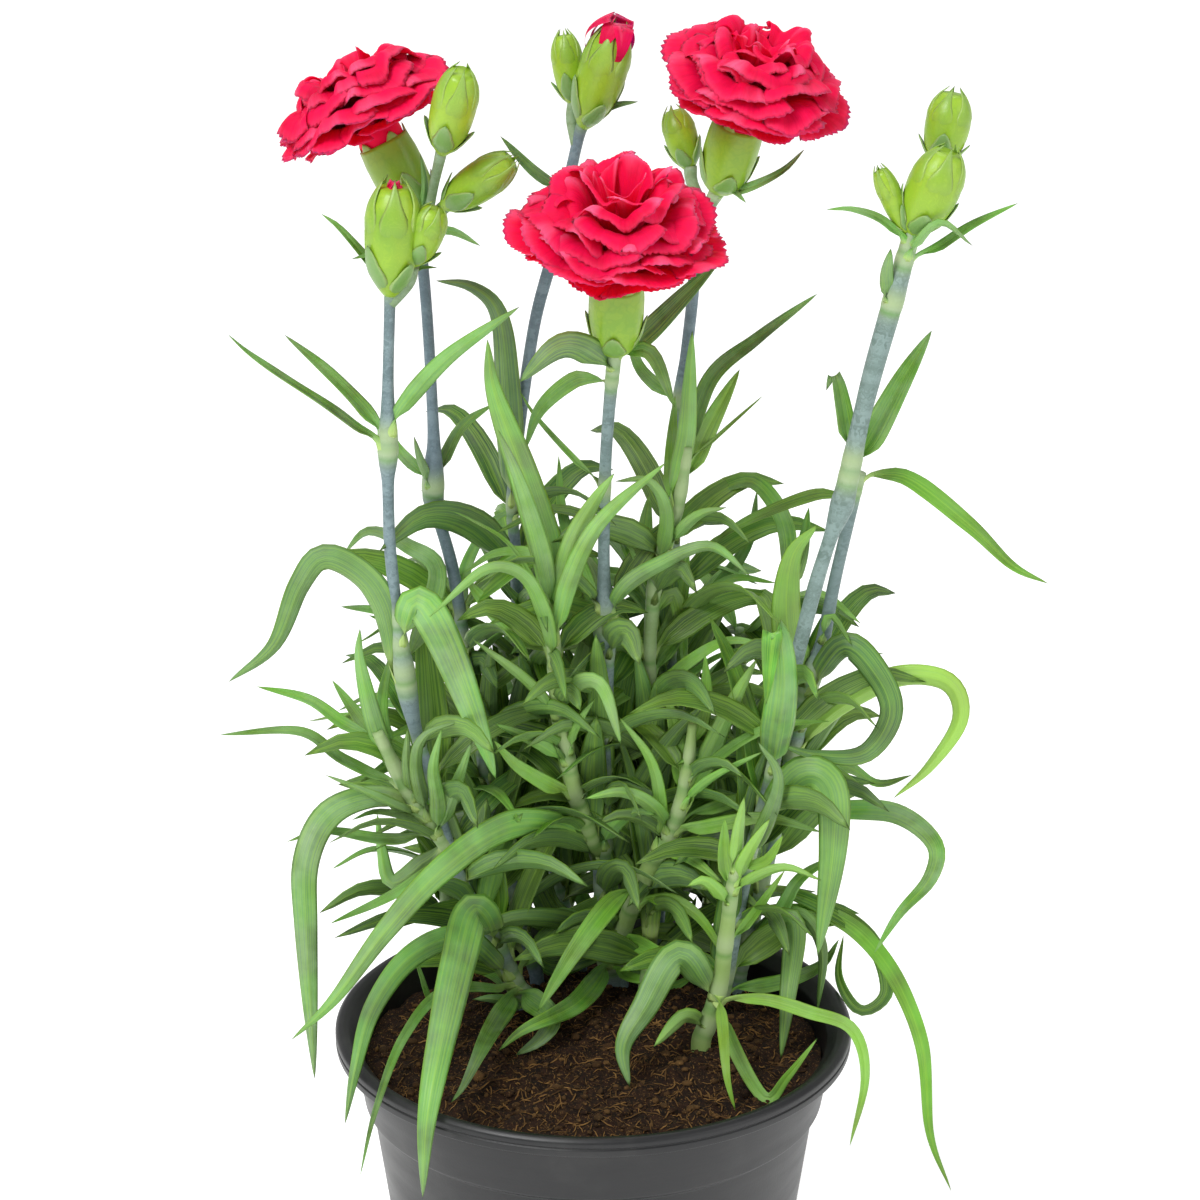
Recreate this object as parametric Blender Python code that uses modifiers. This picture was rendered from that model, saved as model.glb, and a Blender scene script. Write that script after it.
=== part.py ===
"""A flowering pot carnation (Dianthus) in a black nursery pot, with leafy stems, buds and three blooms.

Places are given as they are seen in a picture plane through the plant (u to the right, v up, in millimetres)
with a depth y, and seen() turns them into world points. The origin is the centre of the pot's underside.
"""

import math
import random

import bmesh
import bpy
import numpy as np
from mathutils.bvhtree import BVHTree

MM = 0.001
SEED = 11

# The pot: radii and heights in mm.
POT_HEIGHT = 100.0
LIP_RADIUS = 62.0
LIP_HEIGHT = 4.6
LIP_WIDTH = 3.2
BAND_TOP_RADIUS = 57.6
BAND_BOTTOM_RADIUS = 55.2
BAND_DEPTH = 19.0
BODY_TOP_RADIUS = 53.4
FOOT_RADIUS = 42.0
WALL = 1.5
FLOOR_THICKNESS = 2.0
POT_STEPS = 32
DRAIN_RING_RADIUS = 31.0
DRAIN_RADIUS = 4.0
DRAIN_COUNT = 6

# The soil: its level at the wall and the heap in the middle.
SOIL_LEVEL = 90.5
SOIL_HEAP = 5.0
SOIL_RINGS = 4
SOIL_SPOKES = 24
GAP = 0.35
HOLE_DEPTH = 9.0

# The picture plane: target, distance and tilt of the viewing axis.
TARGET = np.array([1.6, 0.0, 207.8])
PICTURE_CENTRE = (1.6, 98.5)
VIEW_DISTANCE = 1000.0
VIEW_TILT = math.radians(20.8)
RIGHT = np.array([1.0, 0.0, 0.0])
UP = np.array([0.0, math.sin(VIEW_TILT), math.cos(VIEW_TILT)])
AHEAD = np.array([0.0, math.cos(VIEW_TILT), -math.sin(VIEW_TILT)])
EYE = TARGET - VIEW_DISTANCE * AHEAD

# Stems and blades: spacing of a stem's rings, samples between two points of a curve, thickness of a blade
# at its keel, how its edges rise as a share of its half width, and the turn that asks for another section.
STEM_STEP = 22.0
SPAN_SAMPLES = 16
BLADE_THICKNESS = 1.1
EDGE_RISE = 0.12
TURN_PER_SEGMENT = math.radians(42)

# How close two blades may come, and the steps in depth and in turn that are tried to keep a blade clear.
CLEARANCE = 0.9
PUSHES = [0, 2, -2, 4, -4, 6, -6, 8, -8, 11, -11, 14, -14, 18, -18, 22, -22]
SPINS = [0, 12, -12, 24, -24, 36, -36]

# Petals: thickness, distance of their claws from the axis, and as shares of their length the depth of
# the teeth, the wave of the edge, the arch along the middle and the lift that lets each overlap the next.
PETAL_THICKNESS = 0.8
PETAL_ROOT = 1.2
TOOTH_DEPTH = 0.07
PETAL_WAVE = 0.09
PETAL_ARCH = 0.10
LAP = 0.09

# Stems as (u, v, depth, radius), from the foot upwards.
STEMS = {
    "A": [(-15, 3, 18, 2.6), (-23, 20, 17, 2.2), (-29, 30, 15, 1.8), (-34, 43, 12, 1.6),
          (-38, 58, 9, 1.5), (-41, 68, 8, 1.5), (-43, 77, 7, 2.4), (-44, 84, 6, 2.3), (-45, 92, 6, 1.5),
          (-47, 110, 4, 1.4), (-47.5, 125, 3, 1.4), (-47.5, 132, 2, 2.3), (-47.5, 139, 2, 1.9),
          (-47.5, 150, 1, 1.3), (-47, 171, 0, 1.3)],
    "H": [(-33, 40, 12.5, 1.6), (-38, 47, 10, 1.8), (-42.3, 53.4, 8.4, 1.95), (-46, 60, 6, 1.7),
          (-50, 68, 4, 1.2)],
    "B": [(-13, 10, 33, 1.8), (-22, 45, 31, 1.6), (-28, 75, 28, 1.5), (-32, 103, 25, 1.5),
          (-36, 118, 22, 1.5), (-37, 122, 22, 2.5), (-37, 129, 21, 2.3), (-37, 138, 20, 1.4),
          (-38.5, 165, 18, 1.3), (-40.8, 190, 17.3, 1.4)],
    "C": [(-3, 14, 44, 1.7), (-12, 50, 42, 1.5), (-17, 93, 39, 1.5), (-18, 110, 38, 1.4),
          (-18.5, 125, 37, 1.4), (-14, 160, 35, 1.4), (-9, 180, 34, 1.5), (-4, 203, 33, 1.3),
          (-2, 210, 32, 1.5)],
    "D": [(5, 10, 32, 3.4), (4, 15, 31, 3.2), (3, 22, 30, 2.2), (2, 28, 29, 1.9), (2, 35, 28, 2.1),
          (2, 41, 27, 2.8), (2.5, 47, 26, 1.8), (2.8, 65, 22, 1.6), (3.5, 86, 18, 1.6), (3, 91, 17, 3.1),
          (3, 97, 16, 2.6), (2.5, 104, 15, 1.5), (2.7, 125, 10, 1.4), (3.5, 140, 5, 1.4),
          (5.1, 157, 0.4, 1.6)],
    "I": [(1, 40, 26, 1.8), (-1.5, 46, 21, 2.0), (-4, 53, 18, 2.0), (-6, 62, 16, 1.9), (-8, 72, 14, 1.8),
          (-9, 85, 12, 1.7), (-9.5, 98, 11, 1.2)],
    "J": [(4, 14, 30, 2.0), (8, 25, 25, 2.2), (11, 32, 21, 2.3), (14, 38, 18, 2.2), (17, 43, 16, 2.1),
          (20, 50, 14, 1.8), (22, 60, 12, 1.5), (23, 70, 11, 1.0)],
    "E": [(14, 12, 43, 1.7), (17, 50, 41, 1.5), (18.5, 100, 38, 1.4), (19.5, 140, 36, 1.4),
          (21.5, 155, 35, 1.4), (23, 168, 34, 1.4), (24.5, 184, 33, 1.4), (29.7, 195, 30.5, 1.7)],
    "L": [(12, 5, 21, 1.8), (14.5, 40, 27, 1.6), (13, 75, 26, 1.5), (14, 100, 24, 1.7),
          (17, 112, 22, 1.7), (20, 122, 20, 1.5), (22, 134, 18, 1.0)],
    "G": [(34, 12, 33, 1.8), (43, 48, 27, 1.6), (48, 72, 22, 2.3), (50, 80, 21, 2.8), (53, 88, 20, 1.8),
          (56, 103, 18, 1.5), (60, 120, 15, 1.4), (62, 128, 14, 1.2)],
    "M": [(47, 66, 23, 1.4), (45.5, 80, 26, 1.6), (44, 94, 28, 1.6), (44, 106, 29, 1.1)],
    "F": [(28, -1, 14, 2.0), (31, 12, 13, 1.8), (36, 38, 11, 1.6), (41, 57, 9, 1.5), (46, 80, 7, 1.7),
          (51, 100, 5, 1.8), (55, 113, 4, 1.7), (57.5, 120, 4, 2.8), (59, 126, 3, 2.4),
          (62, 140, 3, 2.1), (65, 152, 2, 2.3), (69, 166, 2, 2.4), (71.5, 175, 2, 2.2), (74, 184, 2, 1.7)],
    "K": [(25, -4, -4, 2.4), (29, 8, -4, 2.0), (30.5, 18, -5, 1.9), (32, 30, -6, 1.6), (34, 40, -7, 1.1)],
    "P": [(-30, 8, 35, 1.8), (-34, 30, 36, 1.7), (-32, 60, 38, 1.6), (-30, 85, 40, 1.1)],
    "Q": [(-12, 14, 48, 1.8), (0, 45, 54, 1.7), (4, 75, 55, 1.6), (6, 100, 54, 1.1)],
    "R": [(24, 14, 43, 1.8), (30, 45, 44, 1.7), (34, 72, 45, 1.6), (34, 92, 45, 1.1)],
}
FOOTED = ["A", "B", "C", "D", "E", "L", "G", "F", "K", "P", "Q", "R"]

# Which stems hold together as one plant stem, with its side shoots.
NODES = {
    "stem_left_front": ["A", "H"],
    "stem_left_back": ["B"],
    "stem_middle_back": ["C"],
    "stem_middle": ["D", "I", "J"],
    "stem_right_back": ["E"],
    "shoot_tall": ["L"],
    "stem_right_middle": ["G", "M"],
    "stem_right_front": ["F"],
    "shoot_right_front": ["K"],
    "shoot_back_left": ["P"],
    "shoot_back_middle": ["Q"],
    "shoot_back_right": ["R"],
}

# Side stalks of the buds as (u, v, depth, radius).
STALKS = {
    "A": [[(-47, 167, 0, 1.3), (-43, 172, 1, 1.6), (-42, 176, 0, 1.8)]],
    "B": [[(-39, 183, 17, 1.2), (-37, 194, 10, 1.1), (-35, 203, 5, 1.4)],
          [(-39, 182, 17, 1.2), (-37, 187, 14, 1.5), (-34, 190, 12, 1.6)]],
    "C": [[(-4, 204, 33, 1.2), (-5, 210, 35, 1.3), (-4.5, 214, 36, 1.4)]],
    "E": [[(26, 189, 32, 1.2), (23, 195, 35, 1.4), (22.5, 199, 36, 1.6)]],
    "F": [[(73.5, 182, 2, 1.5), (78, 192, 12, 1.2), (80, 200, 14, 1.5)]],
}

# Buds as (root, tip, width), root and tip with their depth.
BUDS = {
    "A": [((-47, 169, 0.3), (-46, 196, -1), 13.5), ((-42, 176, 0), (-36, 190, -2), 9.0)],
    "B": [((-35, 202, 5), (-30, 222, -4), 11.0), ((-35, 189.5, 12), (-18, 201, 8), 10.0)],
    "C": [((-2.3, 208, 32.3), (6, 232, 28), 12.0), ((-4.5, 213, 36), (-7, 230.5, 38), 8.0)],
    "E": [((22.5, 198, 36), (18.5, 213, 41), 8.5)],
    "F": [((80, 199, 14), (84, 217, 15), 11.0), ((74, 183, 2), (83, 203.5, 0), 13.0),
          ((73, 183, 2), (66, 199, 0), 6.0)],
}

# Blooms: stem, foot of the calyx, a point on the axis, radius, how far the outer petals droop (less than
# nothing where they rise), and a factor on the height of the dome.
BLOOMS = {
    "bloom_left": {"stem": "B", "foot": (-40, 188, 17), "axis": (-52.5, 212, 20.5),
                   "radius": 25.0, "droop": 0.5, "dome": 0.8},
    "bloom_middle": {"stem": "D", "foot": (5, 155.5, 1), "axis": (6, 182, -6),
                     "radius": 27.0, "droop": -3.5, "dome": 1.15},
    "bloom_right": {"stem": "E", "foot": (29, 193, 31), "axis": (36.3, 217, 25.0),
                    "radius": 24.0, "droop": -1.5, "dome": 1.0},
}
CALYX_LENGTH = 21.0
CALYX_RADIUS = 6.3

# Heart of a bloom as (height, radius), and its layers of petals as
# (petals, reach as a share of the radius, start height, end height, width share, points across, phase).
HEART = [(0.0, 4.0), (3.0, 4.6), (8.0, 5.4), (13.0, 4.6), (17.0, 2.0)]
PETAL_LAYERS = [
    (5, 1.00, 1.0, 8.5, 1.04, 7, 0.0),
    (5, 0.80, 3.5, 15.0, 0.90, 5, 0.5),
    (4, 0.46, 6.0, 19.0, 0.80, 5, 0.2),
]

# Leaves, by stem: picture points from root to tip, depth added at the middle and the tip, width, facing.
# Facing 1 turns the blade flat to the viewer, and 0 lets it lie as it grows.
LEAVES = {
    "A": [
        ([(-48, 133), (-51, 140), (-60, 150), (-71.5, 160)], (4, 8), 4.5, 0.51),
        ([(-48, 134), (-60, 142.5), (-78, 154.5), (-84.5, 160)], (-6, -14), 4.0, 0.44),
        ([(-47, 136), (-45, 142), (-34, 154.5), (-17, 166.5)], (-6, -12), 4.5, 0.72),
        ([(-44.5, 94), (-50, 96), (-58.5, 97)], (6, 12), 2.4, 0.65),
        ([(-43.3, 78), (-46.5, 92), (-52, 103), (-62, 108.5), (-68, 102), (-74, 88), (-84.5, 79.5)],
         (-5, -9), 7.3, 0.80),
        ([(-43.8, 82), (-36, 104), (-43, 111), (-52, 114.5), (-58, 109)], (16, 22), 5.0, 0.58),
        ([(-44.8, 89), (-41, 98), (-35, 90), (-27, 70), (-22.5, 57)], (-12, -12), 9.0, 0.93),
        ([(-52, 179), (-58, 184), (-63, 188)], (2, 5), 2.6, 0.65),
        ([(-22, 18), (-25, 25), (-28, 26), (-31, 15), (-35, -3), (-38.5, -22), (-39.5, -40)],
         (-56, -76), 9.5, 0.9),
        ([(-19, 12), (-30, 20), (-42, 16), (-51, 4), (-55, -10), (-57.5, -23)], (-34, -58), 6.5, 0.86),
        ([(-17, 7), (-24, -2), (-30, -14), (-33, -18)], (-22, -30), 5.5, 0.79),
        ([(-17, 6), (-10, 2), (-12, -3), (-18, -7)], (-14, -17), 6.5, 0.86),
        ([(-18, 8), (-34, 8), (-44, -3), (-50.5, -20), (-54, -35)], (-42, -66), 3.0, 0.58),
        ([(-27, 27), (-36, 6), (-40, 12), (-41, 18)], (-12, -16), 2.6, 0.58),
    ],
    "H": [
        ([(-48, 65), (-58, 70), (-66, 75.5), (-78, 78.5)], (5, 9), 3.6, 0.58),
        ([(-43, 54), (-58, 61.5), (-68, 68), (-86.5, 67.3)], (-3, -5), 3.6, 0.58),
        ([(-38, 47), (-50, 53), (-62, 58)], (-9, -15), 3.0, 0.58),
        ([(-45, 58), (-54, 71), (-60.5, 80)], (8, 14), 4.2, 0.72),
        ([(-44, 57), (-50, 68), (-54, 84), (-54, 92)], (-4, -6), 5.0, 0.79),
        ([(-45, 59), (-49, 72), (-47, 86)], (5, 8), 3.8, 0.72),
        ([(-41, 52), (-43, 60), (-43, 69)], (-8, -10), 3.6, 0.72),
        ([(-38, 47), (-41, 60), (-39, 67), (-31, 70.5)], (-10, -14), 3.8, 0.65),
        ([(-36, 44), (-36, 52), (-37, 60), (-35, 69)], (-16, -20), 4.2, 0.79),
        ([(-36, 44), (-33, 52), (-28, 66)], (-12, -14), 4.2, 0.72),
        ([(-40, 50), (-50, 53), (-61, 49), (-66.5, 38), (-66.5, 22), (-64.5, -12.5)], (-22, -34), 7.0, 0.9),
        ([(-36, 44), (-48, 43), (-62, 45), (-71, 42.5)], (-12, -20), 3.4, 0.58),
        ([(-35, 42), (-46, 33), (-49, 41), (-50, 49)], (8, 10), 5.0, 0.72),
        ([(-33, 40), (-45, 31), (-61, 23.5)], (-8, -14), 3.0, 0.58),
    ],
    "B": [
        ([(-37, 124), (-34, 132), (-30, 139), (-23, 144)], (3, 8), 3.6, 0.65),
        ([(-37, 124), (-41, 129), (-46, 134.5), (-49, 142)], (5, 12), 3.2, 0.65),
        ([(-39, 184), (-33, 184), (-26, 180.5)], (-5, -8), 2.4, 0.65),
        ([(-23, 48), (-34, 66), (-44, 74), (-56, 74)], (12, 22), 4.2, 0.51),
        ([(-26, 66), (-22, 84), (-16, 93), (-9, 96)], (12, 22), 4.2, 0.51),
        ([(-30, 88), (-30, 104), (-24, 116), (-17, 120)], (7, 13), 3.6, 0.65),
    ],
    "C": [
        ([(-6, 194), (-14, 198), (-21.5, 206)], (2, 4), 3.2, 0.72),
        ([(-18, 120), (-20, 150), (-22, 165), (-28, 171), (-36.5, 172.5)], (-3, -4), 7.0, 0.86),
        ([(-17, 92), (-22, 106), (-29, 117), (-40, 124)], (6, 14), 4.0, 0.58),
        ([(-17, 94), (-10, 110), (-2, 118), (6, 120)], (10, 20), 4.0, 0.58),
        ([(-2, 209), (5, 213), (10.5, 214)], (-3, -5), 2.2, 0.58),
    ],
    "D": [
        ([(4.5, 151), (-3, 157), (-9, 156.5), (-17, 149)], (-12, -14), 7.5, 0.79),
        ([(4, 149), (-3, 150), (-12, 143), (-16, 133)], (8, 13), 4.5, 0.65),
        ([(6, 153), (12, 160), (21, 169), (30, 178)], (15, 22), 5.5, 0.79),
        ([(6, 153), (13, 156), (19, 143)], (-5, -9), 4.0, 0.72),
        ([(3, 125), (-8, 135), (-14, 142), (-17, 147)], (6, 12), 1.8, 0.65),
        ([(3, 94), (7, 101), (15, 106.5), (27, 111), (36.5, 104)], (-10, -14), 4.6, 0.65),
        ([(3, 93), (-2, 104), (-7, 118), (-8, 132)], (14, 20), 3.8, 0.65),
        ([(2, 41), (5, 46.5), (10, 49.5), (15, 48.5)], (-13, -17), 4.6, 0.86),
        ([(2, 41), (-7, 46), (-20, 46), (-35, 36), (-48, 22), (-60, 6), (-70, -3.5)], (-44, -66), 7.5, 0.9),
        ([(4, 14), (-4, 5), (-16, -1), (-22, -6)], (-20, -28), 6.0, 0.79),
        ([(4, 16), (-2, 24), (-8, 26.5), (-15, 22.8)], (-6, -10), 3.0, 0.65),
        ([(4, 13), (10, 11.5), (18, 9), (24, 12)], (8, 12), 4.0, 0.72),
        ([(3.5, 18), (-4, 32), (-9, 38), (-16, 44)], (10, 16), 4.5, 0.72),
        ([(4, 14), (-2, 16), (-10, 14), (-17, 21)], (8, 14), 7.5, 0.79),
    ],
    "I": [
        ([(-9, 94), (-11, 110), (-16, 127), (-23, 147), (-24.5, 159)], (-6, -8), 8.5, 0.9),
        ([(-9.3, 96), (-12, 110), (-17, 126), (-22, 138)], (-13, -18), 4.8, 0.79),
        ([(-9, 82), (-11, 94), (-16, 104), (-25, 105.5), (-38, 94.5)], (-14, -20), 4.2, 0.72),
        ([(-9, 94), (-5, 111), (0, 121), (5, 128)], (-8, -12), 6.0, 0.86),
        ([(-8.6, 88), (-5, 104), (2, 117), (17, 130.5)], (-14, -22), 5.0, 0.79),
        ([(-8, 73), (-4, 79), (2, 78.5), (6.5, 65)], (-11, -13), 4.4, 0.86),
        ([(-6, 62), (-4, 69), (0.5, 76)], (-4, -6), 2.4, 0.65),
        ([(-8, 71), (-15, 79.5), (-28, 89.5)], (-6, -8), 3.4, 0.65),
        ([(-6, 60), (-13, 65.5), (-23, 70)], (-8, -12), 3.6, 0.72),
        ([(-4, 52), (-10, 55.5), (-18, 60.5), (-23, 66)], (-6, -9), 4.2, 0.79),
        ([(-9, 86), (-16, 90), (-24, 97), (-30, 104)], (10, 16), 6.0, 0.65),
        ([(-8, 72), (-2, 88), (-1, 102)], (5, 8), 4.0, 0.65),
        ([(-6.5, 65), (-1, 71), (9, 77), (17, 76)], (9, 16), 4.0, 0.58),
    ],
    "J": [
        ([(17, 44), (14, 50.5), (7, 54), (-2, 52.5)], (-9, -14), 4.4, 0.79),
        ([(15, 40), (15.5, 52), (13, 62), (6, 71.5)], (-6, -9), 3.6, 0.72),
        ([(20, 50), (20, 62), (17, 78)], (4, 7), 4.4, 0.79),
        ([(19.5, 49), (26, 61), (32, 74), (38, 85)], (-3, -6), 5.6, 0.86),
        ([(20, 50), (27, 57), (39.5, 63.5)], (-9, -13), 3.0, 0.58),
        ([(19, 47), (30, 51), (40, 54), (51, 54.5)], (4, 8), 3.6, 0.58),
        ([(18, 44), (27, 46), (40, 48), (53, 44.7)], (-9, -12), 4.2, 0.65),
        ([(21, 55), (33, 65), (43, 69.5), (55, 70.5)], (-7, -10), 3.4, 0.58),
        ([(15.5, 40.5), (22, 39), (30, 33)], (-12, -16), 3.6, 0.65),
        ([(11, 32), (5, 29), (-4, 17.5), (-13, 3)], (-16, -24), 5.6, 0.86),
        ([(10, 28), (18, 29), (25, 24.5), (31, 15)], (-9, -12), 3.6, 0.65),
        ([(7, 21), (13, 17.5), (22, 13)], (-7, -12), 4.6, 0.79),
        ([(22, 62), (26, 74), (26, 86)], (5, 7), 4.0, 0.72),
    ],
    "K": [
        ([(32, 30), (30.5, 38), (30.5, 48)], (4, 6), 3.8, 0.72),
        ([(32.5, 32), (36, 40), (41, 48)], (-3, -5), 3.8, 0.72),
        ([(33, 35), (33.5, 44), (35, 53)], (-2, -4), 3.6, 0.72),
        ([(32, 30), (38, 34.5), (45, 36.5), (53, 33.5)], (-7, -10), 3.4, 0.65),
        ([(30.5, 18), (36, 24), (44.5, 36)], (7, 12), 2.8, 0.65),
        ([(31.5, 28), (26, 33.5), (21.5, 32)], (-6, -8), 3.8, 0.79),
        ([(29, 8), (30, 0), (31, -12), (33, -20)], (-17, -23), 3.0, 0.58),
        ([(28, 6), (20, 16), (12, 4), (7, -5), (8.5, -14.5)], (-12, -23), 8.5, 0.86),
        ([(26, 0), (21, 2), (14, -5)], (-8, -16), 4.6, 0.79),
        ([(28, 5), (39, 6), (50, 3), (60, -1), (63, -12), (59.5, -28)], (-12, -36), 3.6, 0.72),
        ([(29, 6), (33, -6), (40, -17), (45, -12), (52, -3)], (-18, -21), 3.6, 0.72),
    ],
    "L": [
        ([(19, 119), (21.5, 135), (23, 161)], (-3, -4), 5.0, 0.86),
        ([(20, 123), (26, 137), (34, 152)], (3, 4), 5.4, 0.86),
        ([(18, 116), (18, 130), (19, 146)], (6, 9), 3.6, 0.72),
        ([(21, 129), (27, 149), (38, 159), (52, 169.5)], (6, 10), 4.6, 0.72),
        ([(17, 111), (24, 118), (31, 120)], (-5, -8), 3.4, 0.65),
        ([(15, 105), (17, 118), (13, 126), (5, 126)], (-5, -7), 4.0, 0.65),
        ([(14, 100), (12, 112), (13, 123)], (5, 8), 5.0, 0.79),
        ([(13.5, 78), (21, 92), (31, 103), (42.5, 102.5)], (8, 14), 4.2, 0.58),
        ([(13.2, 80), (20, 98), (22, 112)], (10, 14), 4.6, 0.72),
        ([(13, 76), (22, 84), (31, 89), (41, 88)], (-7, -10), 3.6, 0.58),
        ([(13.5, 70), (6, 82), (-1, 88), (-10, 88)], (8, 14), 4.0, 0.58),
        ([(14.5, 42), (26, 54), (28, 66)], (8, 14), 4.6, 0.58),
        ([(14.5, 44), (5, 58), (-4, 62)], (8, 14), 4.6, 0.58),
    ],
    "G": [
        ([(49, 76), (58, 88), (66, 81), (69, 72), (63, 63), (52, 62.5), (43, 65)], (-14, -18), 7.0, 0.79),
        ([(50, 80), (45, 92), (46, 108), (52, 116)], (-8, -8), 8.0, 0.9),
        ([(46, 64), (56, 73), (70, 80.5), (82, 79.5), (85, 71), (78, 60), (69.5, 52.5)],
         (-6, -14), 6.0, 0.79),
        ([(44, 52), (55, 50), (70, 49), (79, 42), (78, 34), (71, 26), (65, 16.5)], (-10, -20), 5.4, 0.79),
        ([(62, 126), (72, 127), (87, 116), (97, 106.5), (105.5, 102.3)], (-2, -6), 4.6, 0.65),
        ([(61, 123), (50, 122.5), (35, 116.5), (25, 110)], (10, 14), 3.4, 0.58),
        ([(39, 32), (52, 28), (64, 20), (68, 8), (62, 3.5), (57, 11), (58, 21)], (-14, -16), 5.0, 0.72),
        ([(38, 28), (56, 25), (68, 14), (76, -4), (78, -25), (83, -38.5)], (-20, -38), 4.8, 0.72),
        ([(36, 20), (46, 24), (45, 6), (43.5, -8)], (-22, -32), 6.5, 0.86),
        ([(45, 58), (58, 60), (66, 56), (74, 58)], (16, 26), 4.2, 0.51),
    ],
    "M": [
        ([(44, 100), (44.5, 114), (38, 125.5), (30, 124.5), (20, 119)], (3, 5), 5.0, 0.65),
        ([(44, 98), (48, 108), (50, 120)], (5, 8), 4.2, 0.65),
    ],
    "F": [
        ([(60, 128), (65, 137), (72, 150), (78.5, 161)], (6, 9), 6.5, 0.86),
        ([(60, 130), (58, 143), (56, 151), (54, 147)], (4, 7), 4.6, 0.79),
        ([(70, 166), (68, 173), (69, 180)], (-2, -4), 3.6, 0.72),
        ([(72, 177), (78, 179), (88, 185.5), (98.5, 190.5)], (2, 4), 2.8, 0.65),
        ([(73, 180), (67, 186.5), (60, 189), (54, 189)], (-5, -7), 2.4, 0.65),
        ([(72, 177), (80, 186), (88, 180.5)], (-5, -7), 2.4, 0.65),
        ([(41, 57), (44, 80), (42, 92), (40, 74)], (-14, -17), 8.5, 0.93),
        ([(38, 46), (48, 58), (55, 55), (55.5, 40), (52, 16)], (-16, -24), 9.0, 0.93),
        ([(36, 38), (43, 56), (38, 66)], (-12, -13), 4.4, 0.65),
        ([(31, 12), (42, 24), (48, 34), (58, 40)], (10, 18), 4.4, 0.51),
        ([(30, 8), (44, 10), (53, 14), (57, 20)], (3, 6), 4.4, 0.65),
    ],
    "E": [
        ([(27, 191), (36, 194), (44, 198), (49, 203)], (-7, -10), 2.8, 0.65),
        ([(20, 145), (11, 152), (8, 162)], (8, 12), 3.6, 0.58),
        ([(18, 90), (28, 100), (36, 112), (38, 124)], (8, 12), 4.4, 0.58),
        ([(18, 88), (10, 100), (-2, 106), (-10, 114)], (8, 12), 4.0, 0.58),
    ],
}

# Hidden leaves, in crossed pairs on the back shoots: stem, first and last share of the stem, pairs, length.
CROSSED_PAIRS = [
    ("P", 0.35, 0.95, 4, 48.0),
    ("Q", 0.40, 0.95, 4, 50.0),
    ("R", 0.35, 0.95, 4, 48.0),
]

COLOURS = {
    "pot": (0.028, 0.030, 0.033, 0.42),
    "soil": (0.060, 0.028, 0.012, 0.95),
    "leaf": (0.070, 0.210, 0.040, 0.50),
    "petal": (0.760, 0.004, 0.040, 0.55),
}


def seen(u, v, depth):
    """World points, in mm, that are seen at (u, v) and lie at the given depths."""
    u, v, depth = np.broadcast_arrays(u, v, depth)
    plane = TARGET + (u - PICTURE_CENTRE[0])[..., None] * RIGHT + (v - PICTURE_CENTRE[1])[..., None] * UP
    ray = plane - EYE
    return EYE + ray * ((depth - EYE[1]) / ray[..., 1])[..., None]


def unit(vector):
    return vector / max(np.linalg.norm(vector), 1e-9)


def smooth(points, count):
    """Evenly spaced points along a Catmull-Rom curve through the given points."""
    pts = np.array(points, float)
    pts = np.vstack([2 * pts[0] - pts[1], pts, 2 * pts[-1] - pts[-2]])
    p0, p1, p2, p3 = pts[:-3, None], pts[1:-2, None], pts[2:-1, None], pts[3:, None]
    t = np.linspace(0, 1, SPAN_SAMPLES, endpoint=False)[None, :, None]
    spans = 0.5 * (2 * p1 + (p2 - p0) * t + (2 * p0 - 5 * p1 + 4 * p2 - p3) * t * t
                   + (3 * p1 - p0 - 3 * p2 + p3) * t ** 3)
    dense = np.vstack([spans.reshape(-1, pts.shape[1]), pts[-2]])
    run = np.concatenate([[0], np.cumsum(np.linalg.norm(np.diff(dense[:, :3], axis=0), axis=1))])
    at = np.linspace(0, run[-1], count)
    return np.column_stack([np.interp(at, run, dense[:, k]) for k in range(dense.shape[1])])


def soil_height(x, y):
    """Height of the soil surface, in mm, with its heap and its crumbs."""
    r = math.hypot(x, y)
    heap = SOIL_HEAP * max(0.0, 1 - (r / 50.0) ** 2)
    crumbs = 0.7 * math.sin(0.31 * x + 1.3) * math.sin(0.27 * y) + 0.4 * math.sin(0.63 * x - 0.5 * y)
    return SOIL_LEVEL + heap + crumbs


def new_object(name, mesh, collection, material):
    obj = bpy.data.objects.new(name, mesh)
    collection.objects.link(obj)
    if material:
        mesh.materials.clear()
        mesh.materials.append(material)
    return obj


def mesh_of(name, verts, faces):
    """A closed mesh, in metres, from points in mm and faces, with its faces turned outwards."""
    mesh = bpy.data.meshes.new(name)
    mesh.from_pydata([tuple(np.array(v) * MM) for v in verts], [], faces)
    work = bmesh.new()
    work.from_mesh(mesh)
    bmesh.ops.recalc_face_normals(work, faces=work.faces)
    bmesh.ops.triangulate(work, faces=[f for f in work.faces if len(f.verts) > 3])
    work.to_mesh(mesh)
    work.free()
    return mesh


def tree_of(mesh):
    verts = [v.co.copy() for v in mesh.vertices]
    return BVHTree.FromPolygons(verts, [tuple(p.vertices) for p in mesh.polygons])


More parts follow.
